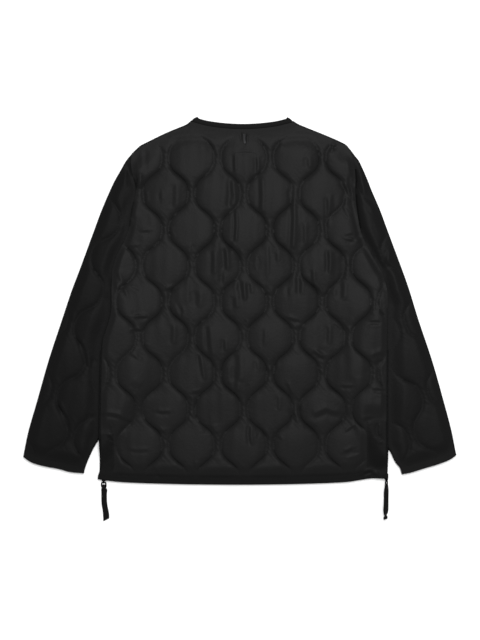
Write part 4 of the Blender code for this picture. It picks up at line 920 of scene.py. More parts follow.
def cloth(name, loop, rim, low, high, low_dots, high_dots, material, slot, stands_for):
    """Closed cloth between a lower and an upper height, over a loop with a shaped rim."""
    flat, roundness = loop[:, :2], loop[:, 2]
    way = inward(flat)
    spots, faces, rings = [], [], []
    for inset, share in rim:
        ring = flat + way * (inset * roundness + SEWN_GAP)[:, None]
        z0, z1 = low(ring[:, 0], ring[:, 1]), high(ring[:, 0], ring[:, 1])
        rings.append((len(spots) * len(flat), ring))
        spots.append(np.column_stack([ring, z0 + share * (z1 - z0)]))
    count = len(flat)
    here = np.arange(count)
    there = (here + 1) % count
    for (lower, _), (upper, _) in zip(rings, rings[1:]):
        faces += np.column_stack([lower + here, lower + there, upper + there, upper + here]).tolist()
    for (start, ring), height, dots, upward in ((rings[0], low, low_dots, False),
                                                (rings[-1], high, high_dots, True)):
        points, triangles = fill(ring, *dots)
        offset = sum(len(part) for part in spots)
        spots.append(np.column_stack([points, height(points[:, 0], points[:, 1])]))
        placed = np.where(triangles < count, triangles + start, triangles - count + offset)
        faces += (placed if upward else placed[:, ::-1]).tolist()
    made = make_piece(name, np.vstack(spots), faces, material, slot, stands_for)
    made.data.set_sharp_from_angle(angle=SHARP_ANGLE)
    return made


print("a shaded edge is sharp from", round(math.degrees(SHARP_ANGLE)), "degrees")

# %% [markdown]
# ## A stitch
# The garment is sewn in lockstitch, so only short dashes of thread show. Each one is a small closed
# spindle that lies on the cloth and dips in at both ends. Modelled thread catches the light as real
# thread does, where a painted line would not.

# %% Sew along lines
STITCH_LONG, STITCH_WIDE = 3.1, 0.5
# each row: place along a stitch, place across it, and height
SPINDLE = ((-0.5, 0, -0.4), (-0.25, 0.5, 0.2), (-0.25, 0, 1.0), (-0.25, -0.5, 0.2), (-0.25, 0, -0.6),
           (0.25, 0.5, 0.2), (0.25, 0, 1.0), (0.25, -0.5, 0.2), (0.25, 0, -0.6), (0.5, 0, -0.4))
SPINDLE_FACES = ((0, 2, 1), (0, 3, 2), (0, 4, 3), (0, 1, 4), (9, 5, 6), (9, 6, 7), (9, 7, 8), (9, 8, 5),
                 (1, 2, 6, 5), (2, 3, 7, 6), (3, 4, 8, 7), (4, 1, 5, 8))


def sew(name, lines, top, slot, pitch=4.2, height=0.35):
    """Separate stitches along lines. A negative height puts them under the cloth."""
    middles, ways = [], []
    for line in lines:
        line = np.asarray(line, dtype=float)
        length = np.concatenate([[0.0], np.cumsum(np.hypot(*np.diff(line, axis=0).T))])
        stops = np.arange(pitch / 2, length[-1], pitch)
        if not len(stops):
            continue
        run = at_lengths(line, length, stops + 0.5) - at_lengths(line, length, stops - 0.5)
        middles.append(at_lengths(line, length, stops))
        ways.append(run / np.maximum(np.linalg.norm(run, axis=1), 1e-9)[:, None])
    middle, way = np.vstack(middles), np.vstack(ways)
    across = np.column_stack([-way[:, 1], way[:, 0]])
    level = {share: top(*(middle + way * STITCH_LONG * share).T) for share in (-0.5, -0.25, 0.25, 0.5)}
    spots = []
    for share, wide, rise in SPINDLE:
        flat = middle + way * STITCH_LONG * share + across * STITCH_WIDE * wide
        spots.append(np.column_stack([flat, level[share] + rise * height]))
    spots = np.stack(spots, axis=1)
    pattern = [face if height > 0 else face[::-1] for face in SPINDLE_FACES]
    faces = [[len(SPINDLE) * i + k for k in face] for i in range(len(spots)) for face in pattern]
    print(f"{name}: {len(spots)} stitches")
    return make_piece(name, spots.reshape(-1, 3), faces, THREAD, slot)


print("a stitch is", STITCH_LONG, "mm long and", STITCH_WIDE, "mm wide")

# %% [markdown]
# ## Neck binding
# The neck edge is finished with folded tape, about 9 mm wide. It runs round the back neck, turns
# over the shoulder fold and follows the front neckline underneath. Cross-sections placed along that
# path and skinned together keep its width even, which no bent block would.

# %% The line of the neck
SEAM_GAP = 0.3                   # air between two pieces that are sewn together
FRONT_WALL = 6.5                 # thickness of a front
NECK_HALF = 84.5                 # from the centre line to the fold at the shoulder
NECK_FOLD_Y = 675.6              # height of that fold
NECK_BACK_Y = 666.3              # and of the binding at the centre back
NECK_BACK_CURVE = 1.95           # how square the curve between them is
NECK_DROP = 92.0                 # depth of the front neck
BINDING_WIDTH = 9.3
BINDING_THICK = 3.0
BINDING_BACK_Z = 8.2             # level of its middle on the back
BINDING_FRONT_Z = 3.2            # and on the front
SHOULDER_SLOPE = math.radians(33.5)
PLACKET_HALF = 15.0
PLACKET_OUTER = (1.5, 3.9)       # the faces of the left front in the placket
PLACKET_INNER = 4.2              # the lower face of the right front above it
FOLD_WAY = Vector((math.cos(SHOULDER_SLOPE), -math.sin(SHOULDER_SLOPE), 0.0))
FOLD_OUT = Vector((math.sin(SHOULDER_SLOPE), math.cos(SHOULDER_SLOPE), 0.0))


def back_neck(x):
    """Middle of the binding on the back, and its slope."""
    rise = NECK_FOLD_Y - NECK_BACK_Y
    share = abs(x) / NECK_HALF
    slope = rise * NECK_BACK_CURVE * share ** (NECK_BACK_CURVE - 1) / NECK_HALF
    return NECK_BACK_Y + rise * share ** NECK_BACK_CURVE, slope


def fold_half():
    """Half the length of the fold across the binding, at the shoulder."""
    slope = math.atan(back_neck(NECK_HALF)[1])
    return BINDING_WIDTH / 2 / abs(Vector((-math.sin(slope), math.cos(slope), 0.0)).dot(FOLD_WAY))


print("fold across the binding:", round(2 * fold_half(), 2), "mm")

# %% Sections of the binding
def binding_half(sign, inner):
    """Sections of one half, as lists for its back, its fold and its front: middle, half width and
    half thickness as vectors, from the centre back over the shoulder to the centre front."""
    half, thick = BINDING_WIDTH / 2, BINDING_THICK / 2
    back, fold, front = [], [], []
    for x in np.linspace(0.0, NECK_HALF - 9.0, 30):
        y, slope = back_neck(x)
        along = Vector((1.0, slope, 0.0)).normalized()
        back.append((Vector((x, y, BINDING_BACK_Z)), Vector((-along.y, along.x, 0.0)) * half,
                     Vector((0.0, 0.0, thick))))
    corner = Vector((NECK_HALF, NECK_FOLD_Y, (BINDING_BACK_Z + BINDING_FRONT_Z) / 2))
    radius = (BINDING_BACK_Z - BINDING_FRONT_Z) / 2
    for turn in range(0, 181, 15):
        angle = math.radians(turn)
        out = Vector((0.0, 0.0, 1.0)) * math.cos(angle) + FOLD_OUT * math.sin(angle)
        fold.append((corner + out * radius, -FOLD_WAY * fold_half(), out * thick))
    for stop in list(np.linspace(7.0, 72.0, 26)) + [74.5, 77.0, 79.5, 82.0]:
        angle = math.radians(stop)
        middle = Vector((NECK_HALF * math.cos(angle), NECK_FOLD_Y - NECK_DROP * math.sin(angle), 0.0))
        along = Vector((-NECK_HALF * math.sin(angle), -NECK_DROP * math.cos(angle), 0.0)).normalized()
        front.append((middle, Vector((along.y, -along.x, 0.0)) * half, None))
    for x in (9.0, 6.0, 3.0, 0.0, -3.0, -6.0, -9.0, -12.0, -PLACKET_HALF):
        front.append((Vector((x, NECK_FOLD_Y - NECK_DROP, 0.0)), Vector((0.0, 1.0, 0.0)) * half, None))
    placket = (PLACKET_INNER, FRONT_WALL) if inner else PLACKET_OUTER
    done = []
    for middle, across, _ in front:
        share = float(ease((25.0 - middle.x) / 8.5))
        low = BINDING_FRONT_Z - thick + share * (placket[0] - BINDING_FRONT_Z + thick)
        high = BINDING_FRONT_Z + thick + share * (placket[1] - BINDING_FRONT_Z - thick)
        done.append((Vector((middle.x, middle.y, (low + high) / 2)), across,
                     Vector((0.0, 0.0, -(high - low) / 2))))
    flip = Matrix.Diagonal((sign, 1.0, 1.0))
    return [[tuple(flip @ vector for vector in section) for section in part] for part in (back, fold, done)]


BINDING = {"right": binding_half(1.0, inner=True), "left": binding_half(-1.0, inner=False)}


def neck_edge(side, layer):
    """Edge of a panel along the binding, from the centre to the shoulder."""
    back, _, front = BINDING[side]
    rows = []
    for middle, across, _ in (back if layer == "back" else front[::-1]):
        spot = middle - across - across.normalized() * SEAM_GAP / 2
        rows.append((spot.x, spot.y))
    corner = Vector((NECK_HALF, NECK_FOLD_Y, 0.0)) + FOLD_WAY * (fold_half() + SEAM_GAP / 2)
    tip = corner + FOLD_OUT * ((BINDING_BACK_Z - BINDING_FRONT_Z) / 2 + BINDING_THICK / 2)
    return np.array(rows + [(SIGN[side] * corner.x, corner.y), (SIGN[side] * tip.x, tip.y)])


print("sections in half of the binding:", sum(len(part) for part in BINDING["left"]))

# %% Skin the binding
TAPE_SHARES = (0.97, 0.9, 0.78, 0.7, 0.62, 0.35, 0.0, -0.35, -0.62, -0.7, -0.78, -0.9, -0.97)


def tape_section(middle, across, normal, bulge=0.12):
    """Section of a folded tape: two faces with rolled edges and a groove for the stitching."""
    ring = []
    for way in (1.0, -1.0):
        for share in TAPE_SHARES:
            rise = 0.62 if abs(share) > 0.95 else 0.86 if abs(share) > 0.85 else 1.0
            rise -= 0.16 if abs(abs(share) - 0.7) < 0.02 else 0.0
            rise += bulge * (1.0 - share * share) * (abs(share) < 0.6)
            ring.append(middle + across * share * way + normal * rise * way)
        ring.append(middle - across * way)
    return ring


def skin(rings):
    """Points and faces over rings with the same number of points, closed at both ends."""
    size = len(rings[0])
    last = (len(rings) - 1) * size
    faces = []
    for here in range(0, last, size):
        there = here + size
        faces += [(here + i, here + (i + 1) % size, there + (i + 1) % size, there + i) for i in range(size)]
    faces += [tuple(range(size))[::-1], tuple(range(last, last + size))]
    return [point for ring in rings for point in ring], faces


left_half, right_half = ([section for part in BINDING[side] for section in part] for side in SIDES)
sections = left_half[::-1] + right_half[1:]
neck_binding = make_piece("neck_binding_tape", *skin([tape_section(*section) for section in sections]),
                          NECK_TAPE, "binding_cloth", ["neck_binding"])
neck_length = sum((b[0] - a[0]).length for a, b in zip(sections, sections[1:]))
tell(neck_binding)

# %% [markdown]
# ## The back
# The largest panel shows the most, so it gets the finest lattice. Its height is the lift from the
# sleeves, plus the padding, plus creases and puckers; none of them may thin the cloth to nothing.
# The inside of the panel is a plain lining that follows the same lift.

# %% Outline of the back
def shoulder_edge(side, layer):
    tip = neck_edge(side, layer)[-1]
    return curve([tuple(tip)] + list(SHOULDER[side]), RIM_STEP)


def back_outline(paths, hem):
    right, left = paths["right"], paths["left"]
    return outline(
        (hem, "hem"), (right["side"][::-1], "fold"), (right["hug"][::-1], "seam"),
        (right["armhole"][::-1], "seam"), (shoulder_edge("right", "back")[::-1], "fold"),
        (neck_edge("right", "back")[::-1], "seam"), (neck_edge("left", "back"), "seam"),
        (shoulder_edge("left", "back"), "fold"), (left["armhole"], "seam"),
        (left["hug"], "seam"), (left["side"], "fold"))


BACK_LOOP = back_outline(CLEAN, CLEAN_HEM)
BACK_ROUGH = back_outline(ROUGH, ROUGH_HEM)
print("outline of the back:", len(BACK_LOOP), "points")

# %% Height of the back
STITCH_WALL = 2.4                # thickness where the quilting is sewn
PLAIN_WALL = 3.4                 # and where the cloth is plain
PUFF_RISE = 7.5                  # height of the padding over both
VALLEY_RISE = 1.9                # how far the padding lifts even the sewn rows
THINNEST = 1.2
HEM_WIDTH = 15.0
YOKE_TOP = 645.0                 # height where the quilting ends
SHOULDER_PLAIN = 15.0            # width of the plain edge along the shoulders
STRIP = {"left": (24.0, 95.0), "right": (36.0, 120.0)}     # width and height beside the zips
# distances over which the padding grows to its full height
GROW = {"edge": 13.0, "hem": 24.0, "yoke": 32.0, "shoulder": 28.0, "strip": 18.0, "strip_top": 35.0}


def back_strength(x, y):
    """How full the quilting of the back is, from 0 to 1."""
    full = ease(distance(BACK_ROUGH, x, y, closed=True) / GROW["edge"])
    full *= ease((distance(ROUGH_HEM, x, y) - HEM_WIDTH + 2.0) / GROW["hem"])
    full *= ease((YOKE_TOP + 10.0 - y) / GROW["yoke"])
    for side in SIDES:
        full *= ease((distance(ROUGH[side]["shoulder"], x, y) - SHOULDER_PLAIN + 5.0) / GROW["shoulder"])
        width, height = STRIP[side]
        across = ease((distance(ROUGH[side]["side"], x, y) - width + 3.0) / GROW["strip"])
        full *= 1.0 - (1.0 - across) * (1.0 - ease((y - height) / GROW["strip_top"]))
    return full


def back_low(x, y):
    return FRONT_WALL + SEAM_GAP + lift(x, y) + corner_lift(x, y)


def back_high(x, y):
    full = back_strength(x, y)
    to_hem = distance(ROUGH_HEM, x, y)
    plain = PLAIN_WALL - 2.0 + 0.9 * ease(to_hem / HEM_WIDTH) + 2.2 * ease((to_hem - HEM_WIDTH) / 30.0)
    plain += 1.5 * ease((y - YOKE_TOP + 40.0) / 30.0) * ease(distance(BACK_ROUGH, x, y, closed=True) / 24.0)
    wall = plain + full * (STITCH_WALL + VALLEY_RISE - plain)
    wall += full * puff(x, y, "body") * (PUFF_RISE - VALLEY_RISE + 1.2 * sway(x, y))
    wall += full * (pucker(x, y, "body") + drape(x, y)) + crease_relief(x, y, CREASES)
    return back_low(x, y) + np.maximum(wall, THINNEST)


blades = np.array([0.0]), np.array([480.0])
print("thickness between the shoulder blades:", (back_high(*blades) - back_low(*blades)).round(1), "mm")

# %% Make the back
BACK_STEP, UNDER_STEP = 2.3, 6.5       # spacing of the lattice on the back's two faces
BACK_RIM = ((0.4, 0.0), (0.1, 0.15), (0.0, 0.35), (0.15, 0.6), (0.59, 0.81), (1.2, 0.94), (2.0, 1.0))


def beside_edge(path, into):
    """A line at some distance from a path, on its left for a positive distance."""
    ahead = np.gradient(path, axis=0)
    ahead /= np.linalg.norm(ahead, axis=1)[:, None]
    return path + np.column_stack([-ahead[:, 1], ahead[:, 0]]) * into


HEM_SEAM = beside_edge(CLEAN_HEM, HEM_WIDTH - 1.0)[8:-8]
back_runs = quilt_runs(BACK_LOOP, "body", back_strength, clear_of=[HEM_SEAM]) + [HEM_SEAM]
back_dots = spread_points(BACK_LOOP, BACK_STEP, [HEM_SEAM], "body")
under_dots = spread_points(BACK_LOOP, UNDER_STEP)
back = cloth("back_cloth", BACK_LOOP, BACK_RIM, back_low, back_high, (under_dots, []),
             (back_dots, back_runs), BODY_NYLON, "body_cloth", ["back"])
tell(back)

# %% [markdown]
# ## Where the back is folded flat, and where shade is painted
# The nylon has a second, darker tone for cloth that is folded double and flat. It is partly the closed
# weave and partly painted shade for the lamp's shine that such flat bands miss, and below the neck
# binding it is a painted shadow. The shader reads how much of it to show from a value at each point of
# the mesh, so that the tone follows the seams and not some flat picture laid over them.

# %% Mark the hem and the strips, and paint a shadow below the neck
PRESS_FADE, NECK_SHADOW_FADE = 6.0, 12.0


def pressed_and_shaded_bands(x, y):
    """Darker tone from 0 to 1: hem and strips, partly painted shade, and a painted shadow at the neck."""
    share = 1.0 - ease((distance(CLEAN_HEM, x, y) - HEM_WIDTH) / PRESS_FADE)
    for side in SIDES:
        width, height = STRIP[side]
        across = 1.0 - ease((distance(ROUGH[side]["side"], x, y) - width + 3.0) / PRESS_FADE)
        share = np.maximum(share, across * (1.0 - ease((y - height + 3.0) / PRESS_FADE)))
    # a shadow is painted along the neck binding, where the cloth dips under it
    neck = np.vstack([neck_edge("right", "back")[::-1], neck_edge("left", "back")])
    return np.maximum(share, 1.0 - ease((distance(neck, x, y) - 5.0) / NECK_SHADOW_FADE))


# darker tone at each point of the back: flattened bands, partly painted shade, and the painted shadow below
# the neck
pressed_and_shaded_share = pressed_and_shaded_bands(*(places_of(back)[:, :2] / MM - SHIFT).T)
back.data.attributes.new("pressed_and_shaded", "FLOAT", "POINT").data.foreach_set("value", pressed_and_shaded_share)
print("pressed points of the back:", int(np.sum(pressed_and_shaded_share > 0.5)))

# %% [markdown]
# ## The two fronts
# They lie underneath, face down, and meet in a placket that laps left over right. The floor presses
# the quilting flat, so only the stitched rows are drawn up as narrow grooves.

# %% Outline of a front
PULLS = {
    "left": {"pivot": (-259.4, 4.6, 4.5), "roll": 0.0, "drop": 2.25, "sink": 0.85},
    "right": {"pivot": (267.2, 7.2, 5.4), "roll": math.radians(60.0), "drop": 0.0, "sink": 0.0},
}
NOTCH_BACK, NOTCH_HIGH = 5.6, 15.4     # the slider's notch in the corner of the hem
KNEE, RAMP = PLACKET_HALF + 0.6, PLACKET_HALF + 4.6     # a front steps up from RAMP to KNEE
KNEE_RUN = 4.0


def crease_places(side):
    """Where a front steps into the overlap."""
    places = (KNEE, RAMP) if side == "right" else (KNEE - KNEE_RUN, KNEE, RAMP)
    return [SIGN[side] * place for place in places]


def with_creases(path, side):
    """The path with added points where the placket's creases cross it."""
    rows = [tuple(path[0])]
    for (ax, ay), (bx, by) in zip(path, path[1:]):
        crossed = [x for x in crease_places(side) if min(ax, bx) < x < max(ax, bx)]
        rows += [(x, ay + (by - ay) * (x - ax) / (bx - ax)) for x in sorted(crossed, reverse=bool(bx < ax))]
        rows.append((bx, by))
    return np.array([rows[0]] + [row for before, row in zip(rows, rows[1:]) if math.dist(before, row) > 0.8])


def front_outline(side):
    """One front: from the placket along the hem, up the side and back along the neck."""
    sign = SIGN[side]
    notch_x = PULLS[side]["pivot"][0] - sign * NOTCH_BACK
    notch_y = PULLS[side]["pivot"][1] + NOTCH_HIGH
    placket = -sign * PLACKET_HALF
    hem = CLEAN_HEM if side == "right" else CLEAN_HEM[::-1]
    stays = hem[(sign * hem[:, 0] > sign * placket + 3.0) & (sign * hem[:, 0] < sign * notch_x - 2.0)]
    hem_y = np.interp([placket, notch_x], CLEAN_HEM[:, 0], CLEAN_HEM[:, 1])
    side_path = CLEAN[side]["side"][::-1]
    side_up = side_path[side_path[:, 1] > notch_y + 2.0]
    side_x = np.interp(notch_y, side_path[:, 1], side_path[:, 0])
    neck = with_creases(neck_edge(side, "front"), side)
    bottom = with_creases(np.vstack([[(placket, hem_y[0])], stays, [(notch_x, hem_y[1])]]), side)
    notch = np.array([(notch_x, hem_y[1]), (notch_x, notch_y), (side_x, notch_y)])
    loop = outline(
        (bottom, "hem"), (notch, "seam"), (np.vstack([[(side_x, notch_y)], side_up]), "fold"),
        (CLEAN[side]["hug"][::-1], "seam"), (CLEAN[side]["armhole"][::-1], "seam"),
        (shoulder_edge(side, "front")[::-1], "fold"), (neck[::-1], "seam"),
        (curve([tuple(neck[0]), (placket, hem_y[0])], 5.0), "hem"))
    return loop if side == "right" else loop[::-1]


print("steps of the left front:", [round(float(place), 1) for place in crease_places("left")])

# %% Make the fronts
FRONT_RIM = ((2.0, 0.0), (1.2, 0.06), (0.59, 0.19), (0.15, 0.4), (0.0, 0.65), (0.1, 0.85), (0.4, 1.0))
FRONT_STEP, INNER_STEP = 3.6, 8.0      # spacing of the lattice on a front's two faces


def make_front(side):
    sign = SIGN[side]
    loop = front_outline(side)

    def strength(x, y):
        full = ease((distance(loop[::4], x, y, closed=True) - 4.0) / 9.0)
        full *= ease((distance(ROUGH_HEM, x, y) - HEM_WIDTH) / 9.0)
        return full * ease((sign * x - PLACKET_HALF - 8.0) / 8.0)

    def low(x, y):
        if side == "right":
            step = np.clip((RAMP - sign * x) / (RAMP - KNEE), 0.0, 1.0) * PLACKET_INNER
        else:
            step = np.clip((KNEE - sign * x) / KNEE_RUN, 0.0, 1.0) * PLACKET_OUTER[0]
        full = strength(x, y)
        groove = 1.7 * np.exp(-(row_distance(x, y, "body") / 3.4) ** 1.4)
        folds = np.maximum(-crease_relief(-x, y, CREASES, 0.6), 0.0)
        return step + lift(x, y) + full * (groove + folds)

    def high(x, y):
        step = 0.0
        if side == "left":
            step = np.clip((RAMP - sign * x) / (RAMP - KNEE), 0.0, 1.0) * (FRONT_WALL - PLACKET_OUTER[1])
        return FRONT_WALL - step + lift(x, y)

    neck_y = NECK_FOLD_Y - NECK_DROP - BINDING_WIDTH
    heights = np.linspace(9.0, neck_y - 9.0, 90)
    steps = [np.column_stack([np.full(len(heights), place), heights]) for place in crease_places(side)]
    rows = quilt_runs(loop, "body", strength, 3.4)
    dots = spread_points(loop, FRONT_STEP, steps, "body")
    hidden = spread_points(loop, INNER_STEP, steps)
    made = cloth(f"front_{side}_cloth", loop, FRONT_RIM, low, high, (dots, rows + steps),
                 (hidden, steps), BODY_NYLON, "body_cloth", [f"front_{side}"])
    tell(made)
    return {"piece": made, "rows": rows, "sewn_at": low, "loop": loop}


fronts = {side: make_front(side) for side in SIDES}

# %% [markdown]
# ## The sleeves
# Each sleeve is a quilted tube pressed flat, open at the cuff. The top shows its padding, the
# bottom rests on the floor, and the part under the body stays flat. The empty inside is a thin slit,
# cut out with an exact boolean.

# %% The empty inside of a sleeve
SLEEVE_HEIGHT = 8.6              # level of the sewn rows
SLEEVE_TUCKED = 8.0              # and of the part under the body
SLEEVE_RISE = 5.3                # height of the padding
SLEEVE_SLIT = (4.0, 5.0)         # floor and ceiling of the empty inside
SLIT_INSET = 9.0
SLIT_END = 8.0                   # height where the slit leaves the cuff


def slit_faces(side):
    """The empty inside of a sleeve, open at the cuff and at the armhole."""
    sign = SIGN[side]
    path = ROUGH[side]
    under = np.vstack([path["hug"], path["tuck"][1:], path["forearm"][1:]])[::-1]
    outer, armhole = path["outer"], path["armhole"][::-1]
    pit = ARMHOLE[side][-1][1]
    heights = [585.0, 545.0, 505.0, 470.0, 440.0, pit + 14.0, pit - 12.0]
    heights += list(np.linspace(pit - 45.0, 62.0, 9))
    inner_side, outer_side = [], []
    for y in heights:
        if y > pit:
            x = np.interp(y, armhole[:, 1], armhole[:, 0]) - sign * 8.0
        else:
            x = np.interp(y, under[:, 1], under[:, 0]) + sign * SLIT_INSET
        inner_side.append((x, y))
        outer_side.append((np.interp(y, outer[:, 1], outer[:, 0]) - sign * SLIT_INSET, y))
    inner_side.append((inner_side[-1][0] + sign * 26.0, SLIT_END))
    outer_side.append((outer_side[-1][0] + sign * 3.0, SLIT_END))
    loop = inner_side + outer_side[::-1]
    loop = loop if side == "right" else loop[::-1]
    count = len(loop)
    spots = [(x, y, z) for z in SLEEVE_SLIT for x, y in loop]
    faces = [tuple(range(count))[::-1], tuple(range(count, 2 * count))]
    faces += [(i, (i + 1) % count, count + (i + 1) % count, count + i) for i in range(count)]
    return spots, faces


def cut_slit(sleeve, side):
    """Cut the empty inside out, and keep the result as the sleeve's own mesh."""
    cutter = make_piece(f"slit_{side}", *slit_faces(side), SHADED_SLEEVE_NYLON[side])
    modifier = sleeve.modifiers.new("slit", "BOOLEAN")
    modifier.operation = "DIFFERENCE"
    modifier.solver = "EXACT"
    modifier.object = cutter
    graph = bpy.context.evaluated_depsgraph_get()
    shaped = bpy.data.meshes.new_from_object(sleeve.evaluated_get(graph))
    sleeve.modifiers.remove(modifier)
    sleeve.data = shaped
    bpy.data.objects.remove(cutter, do_unlink=True)


print("corners of the slit in the left sleeve:", len(slit_faces("left")[0]))

# %% Make the sleeves
# the rim of a sleeve is half a circle, as inset and height
SLEEVE_RIM = [(3.0 * (1.0 - math.sin(math.radians(a))), (1.0 - math.cos(math.radians(a))) / 2)
              for a in (0, 25, 45, 67, 90, 113, 135, 155, 180)]
SLEEVE_STEP, FLOOR_STEP = 2.6, 4.0     # spacing of the lattice on a sleeve's two faces
GROOVE = 1.5                           # depth of the sewn rows on the side that lies on the floor


def make_sleeve(side):
    path = CLEAN[side]
    loop = outline((path["hug"], "seam"), (path["tuck"], "fold"), (path["forearm"], "fold"),
                   (path["cuff"], "seam"), (path["outer"], "fold"), (path["armhole"], "seam"))
    loop = loop if side == "right" else loop[::-1]

    def from_edge(x, y):
        return distance(loop[::4], x, y, closed=True)

    def from_cuff(x, y):
        return distance(ROUGH[side]["cuff"], x, y) - HEM_WIDTH

    def strength(x, y):
        full = ease(from_edge(x, y) / 22.0)
        full *= ease((from_cuff(x, y) + 2.0) / 24.0)
        return full * ease((tuck_distance(x, y, side) - 5.0) / 30.0)

    def low(x, y):
        groove = GROOVE * np.exp(-(row_distance(x, y, side) / 3.2) ** 1.4)
        folds = np.maximum(-crease_relief(x, y, SLEEVE_CREASES[side], 0.7), 0.0)
        sunk = np.minimum(groove + folds, GROOVE)
        return sunk * ease((from_edge(x, y) - 4.0) / 9.0) * ease(from_cuff(x, y) / 9.0)

    def high(x, y):
        near = ease((tuck_distance(x, y, side) - 5.0) / 18.0)
        full = strength(x, y)
        relief = full * (VALLEY_RISE + puff(x, y, side, 0.4) * (SLEEVE_RISE + 0.6 * sway(x + 40.0, y)))
        relief += full * (0.6 * pucker(x, y, side) + 0.6 * drape(x, y))
        relief += near * crease_relief(x, y, SLEEVE_CREASES[side])
        return SLEEVE_TUCKED + near * (SLEEVE_HEIGHT - SLEEVE_TUCKED) + np.maximum(relief, -1.5)

    cuff_line = beside_edge(path["cuff"], (HEM_WIDTH - 1.0) * SIGN[side])
    cuff_line = cuff_line[inside(loop, *cuff_line.T)]
    cuff_line = cuff_line[distance(loop, *cuff_line.T, closed=True) > 3.4]
    rows = quilt_runs(loop, side, strength, clear_of=[cuff_line])
    dots = spread_points(loop, SLEEVE_STEP, [cuff_line], side)
    low_rows = quilt_runs(loop, side, lambda x, y: ease(from_edge(x, y) / 9.0), 3.6)
    low_dots = spread_points(loop, FLOOR_STEP, [], side)
    made = cloth(f"sleeve_{side}_cloth", loop, SLEEVE_RIM, low, high, (low_dots, low_rows),
                 (dots, rows + [cuff_line]), SHADED_SLEEVE_NYLON[side], "sleeve_cloth", [f"sleeve_{side}"])
    cut_slit(made, side)
    tell(made)
    return {"piece": made, "rows": rows + [cuff_line], "sewn_at": high, "loop": loop}


sleeves = {side: make_sleeve(side) for side in SIDES}

# %% [markdown]
# ## Sewing
# Lockstitch in black thread, about four millimetres a stitch. Stitches are too many to place by
# hand, so they follow the same rows as the cloth. At the back neck a small box of stitches shows
# where a label is sewn to the inside.

# %% Stitch the quilting, the hems and the strips
strip_lines = []
for side in SIDES:
    width, height = STRIP[side]
    edge = CLEAN[side]["side"]
    edge = edge[(edge[:, 1] < height) & (edge[:, 1] > HEM_WIDTH + 8.0)]
    strip_lines.append(edge + np.array((-SIGN[side] * width, 0.0)))
    strip_lines.append(np.array([(edge[0][0] - SIGN[side] * s, height) for s in np.linspace(5.0, width, 8)]))
label_box = [np.array(((-16.7, 579.4), (-16.9, 598.0), (-16.2, 617.2), (2.0, 618.3), (16.0, 618.0),
                       (25.2, 615.5), (26.0, 598.0), (25.2, 576.6)))]
back_thread = sew("back_stitching", back_runs + strip_lines + label_box, back_high, "body_cloth")
sleeve_thread = {side: sew(f"sleeve_{side}_stitching", sleeves[side]["rows"], sleeves[side]["sewn_at"],
                           "sleeve_cloth") for side in SIDES}
front_thread = {side: sew(f"front_{side}_stitching", fronts[side]["rows"], fronts[side]["sewn_at"],
                          "body_cloth", pitch=4.6, height=-0.25) for side in SIDES}

# %% [markdown]
# ## The corners of the neck
# Where the binding folds over at the shoulders, it pulls the cloth up into a small corner. The same
# smooth move is made on every piece that meets there, so that the seams stay closed.

# %% Pull up the corners of the neck
NECK_TOP, NECK_RISE_OVER = 652.0, 20.0         # the move starts here and grows over this distance
NECK_LIFT = 0.8                                # how far the whole neck edge moves up
NECK_SPAN, NECK_SPAN_FADE = 92.0, 14.0
CORNER_WIDTH = 12.0
NECK_CORNERS = ((-87.0, -4.4, 2.7), (84.0, 1.3, 1.7))     # where, how far outwards and how far up


def raise_neck(piece):
    spots = places_of(piece)
    x, y = (spots[:, :2] / MM - SHIFT).T
    top = ease((y - NECK_TOP) / NECK_RISE_OVER)
    rise = NECK_LIFT * (1.0 - ease((np.abs(x) - NECK_SPAN) / NECK_SPAN_FADE))
    for middle, outwards, upwards in NECK_CORNERS:
        near = np.exp(-((x - middle) / CORNER_WIDTH) ** 2)
        spots[:, 0] += top * near * outwards * MM
        rise = rise + near * upwards
    spots[:, 1] += top * rise * MM
    piece.data.vertices.foreach_set("co", spots.ravel())
    piece.data.update()


neck_pieces = [neck_binding, back, back_thread, *(front["piece"] for front in fronts.values()),
               *front_thread.values()]
for piece in neck_pieces:
    raise_neck(piece)
print("pieces drawn up at the neck:", len(neck_pieces))

# %% [markdown]
# ## Hanging loop
# A narrow satin tape, doubled, hangs down from the binding at the centre back. One leg lies flat and
# catches the light. The other has turned on its edge, which is how such a thin tape settles.

# %% Make the hanging loop
HANGER = {"x": 3.1, "lean": 0.8, "top": 652.5, "bottom": 634.5, "spread": 1.0, "narrow": 0.9,
          "width": 1.8, "thick": 0.7, "bend": 1.6, "twist": math.radians(84.0)}
LEG_STOPS = 14


def hanger_path():
    """Down one leg, round the bend and up the other: place across, height, and way across the tape."""
    rows = []
    bend_y = HANGER["bottom"] + HANGER["bend"]
    for share in np.linspace(0.0, 1.0, LEG_STOPS):
        offset = HANGER["spread"] + float(ease(share)) * (HANGER["narrow"] - HANGER["spread"])
        rows.append((-offset, HANGER["top"] + share * (bend_y - HANGER["top"]), Vector((1.0, 0.0, 0.0))))
    for turn in (205, 225, 247, 270, 293, 315, 335):
        angle = math.radians(turn)
        out = Vector((math.cos(angle), math.sin(angle), 0.0))
        rows.append((HANGER["narrow"] * out.x, bend_y + HANGER["narrow"] * out.y, -out))
    for x, y, _ in rows[:LEG_STOPS][::-1]:
        twist = HANGER["twist"] * float(ease((y - HANGER["bottom"] - 2.0) / 6.0))
        rows.append((-x, y, Vector((-math.cos(twist), 0.0, math.sin(twist)))))
    return rows


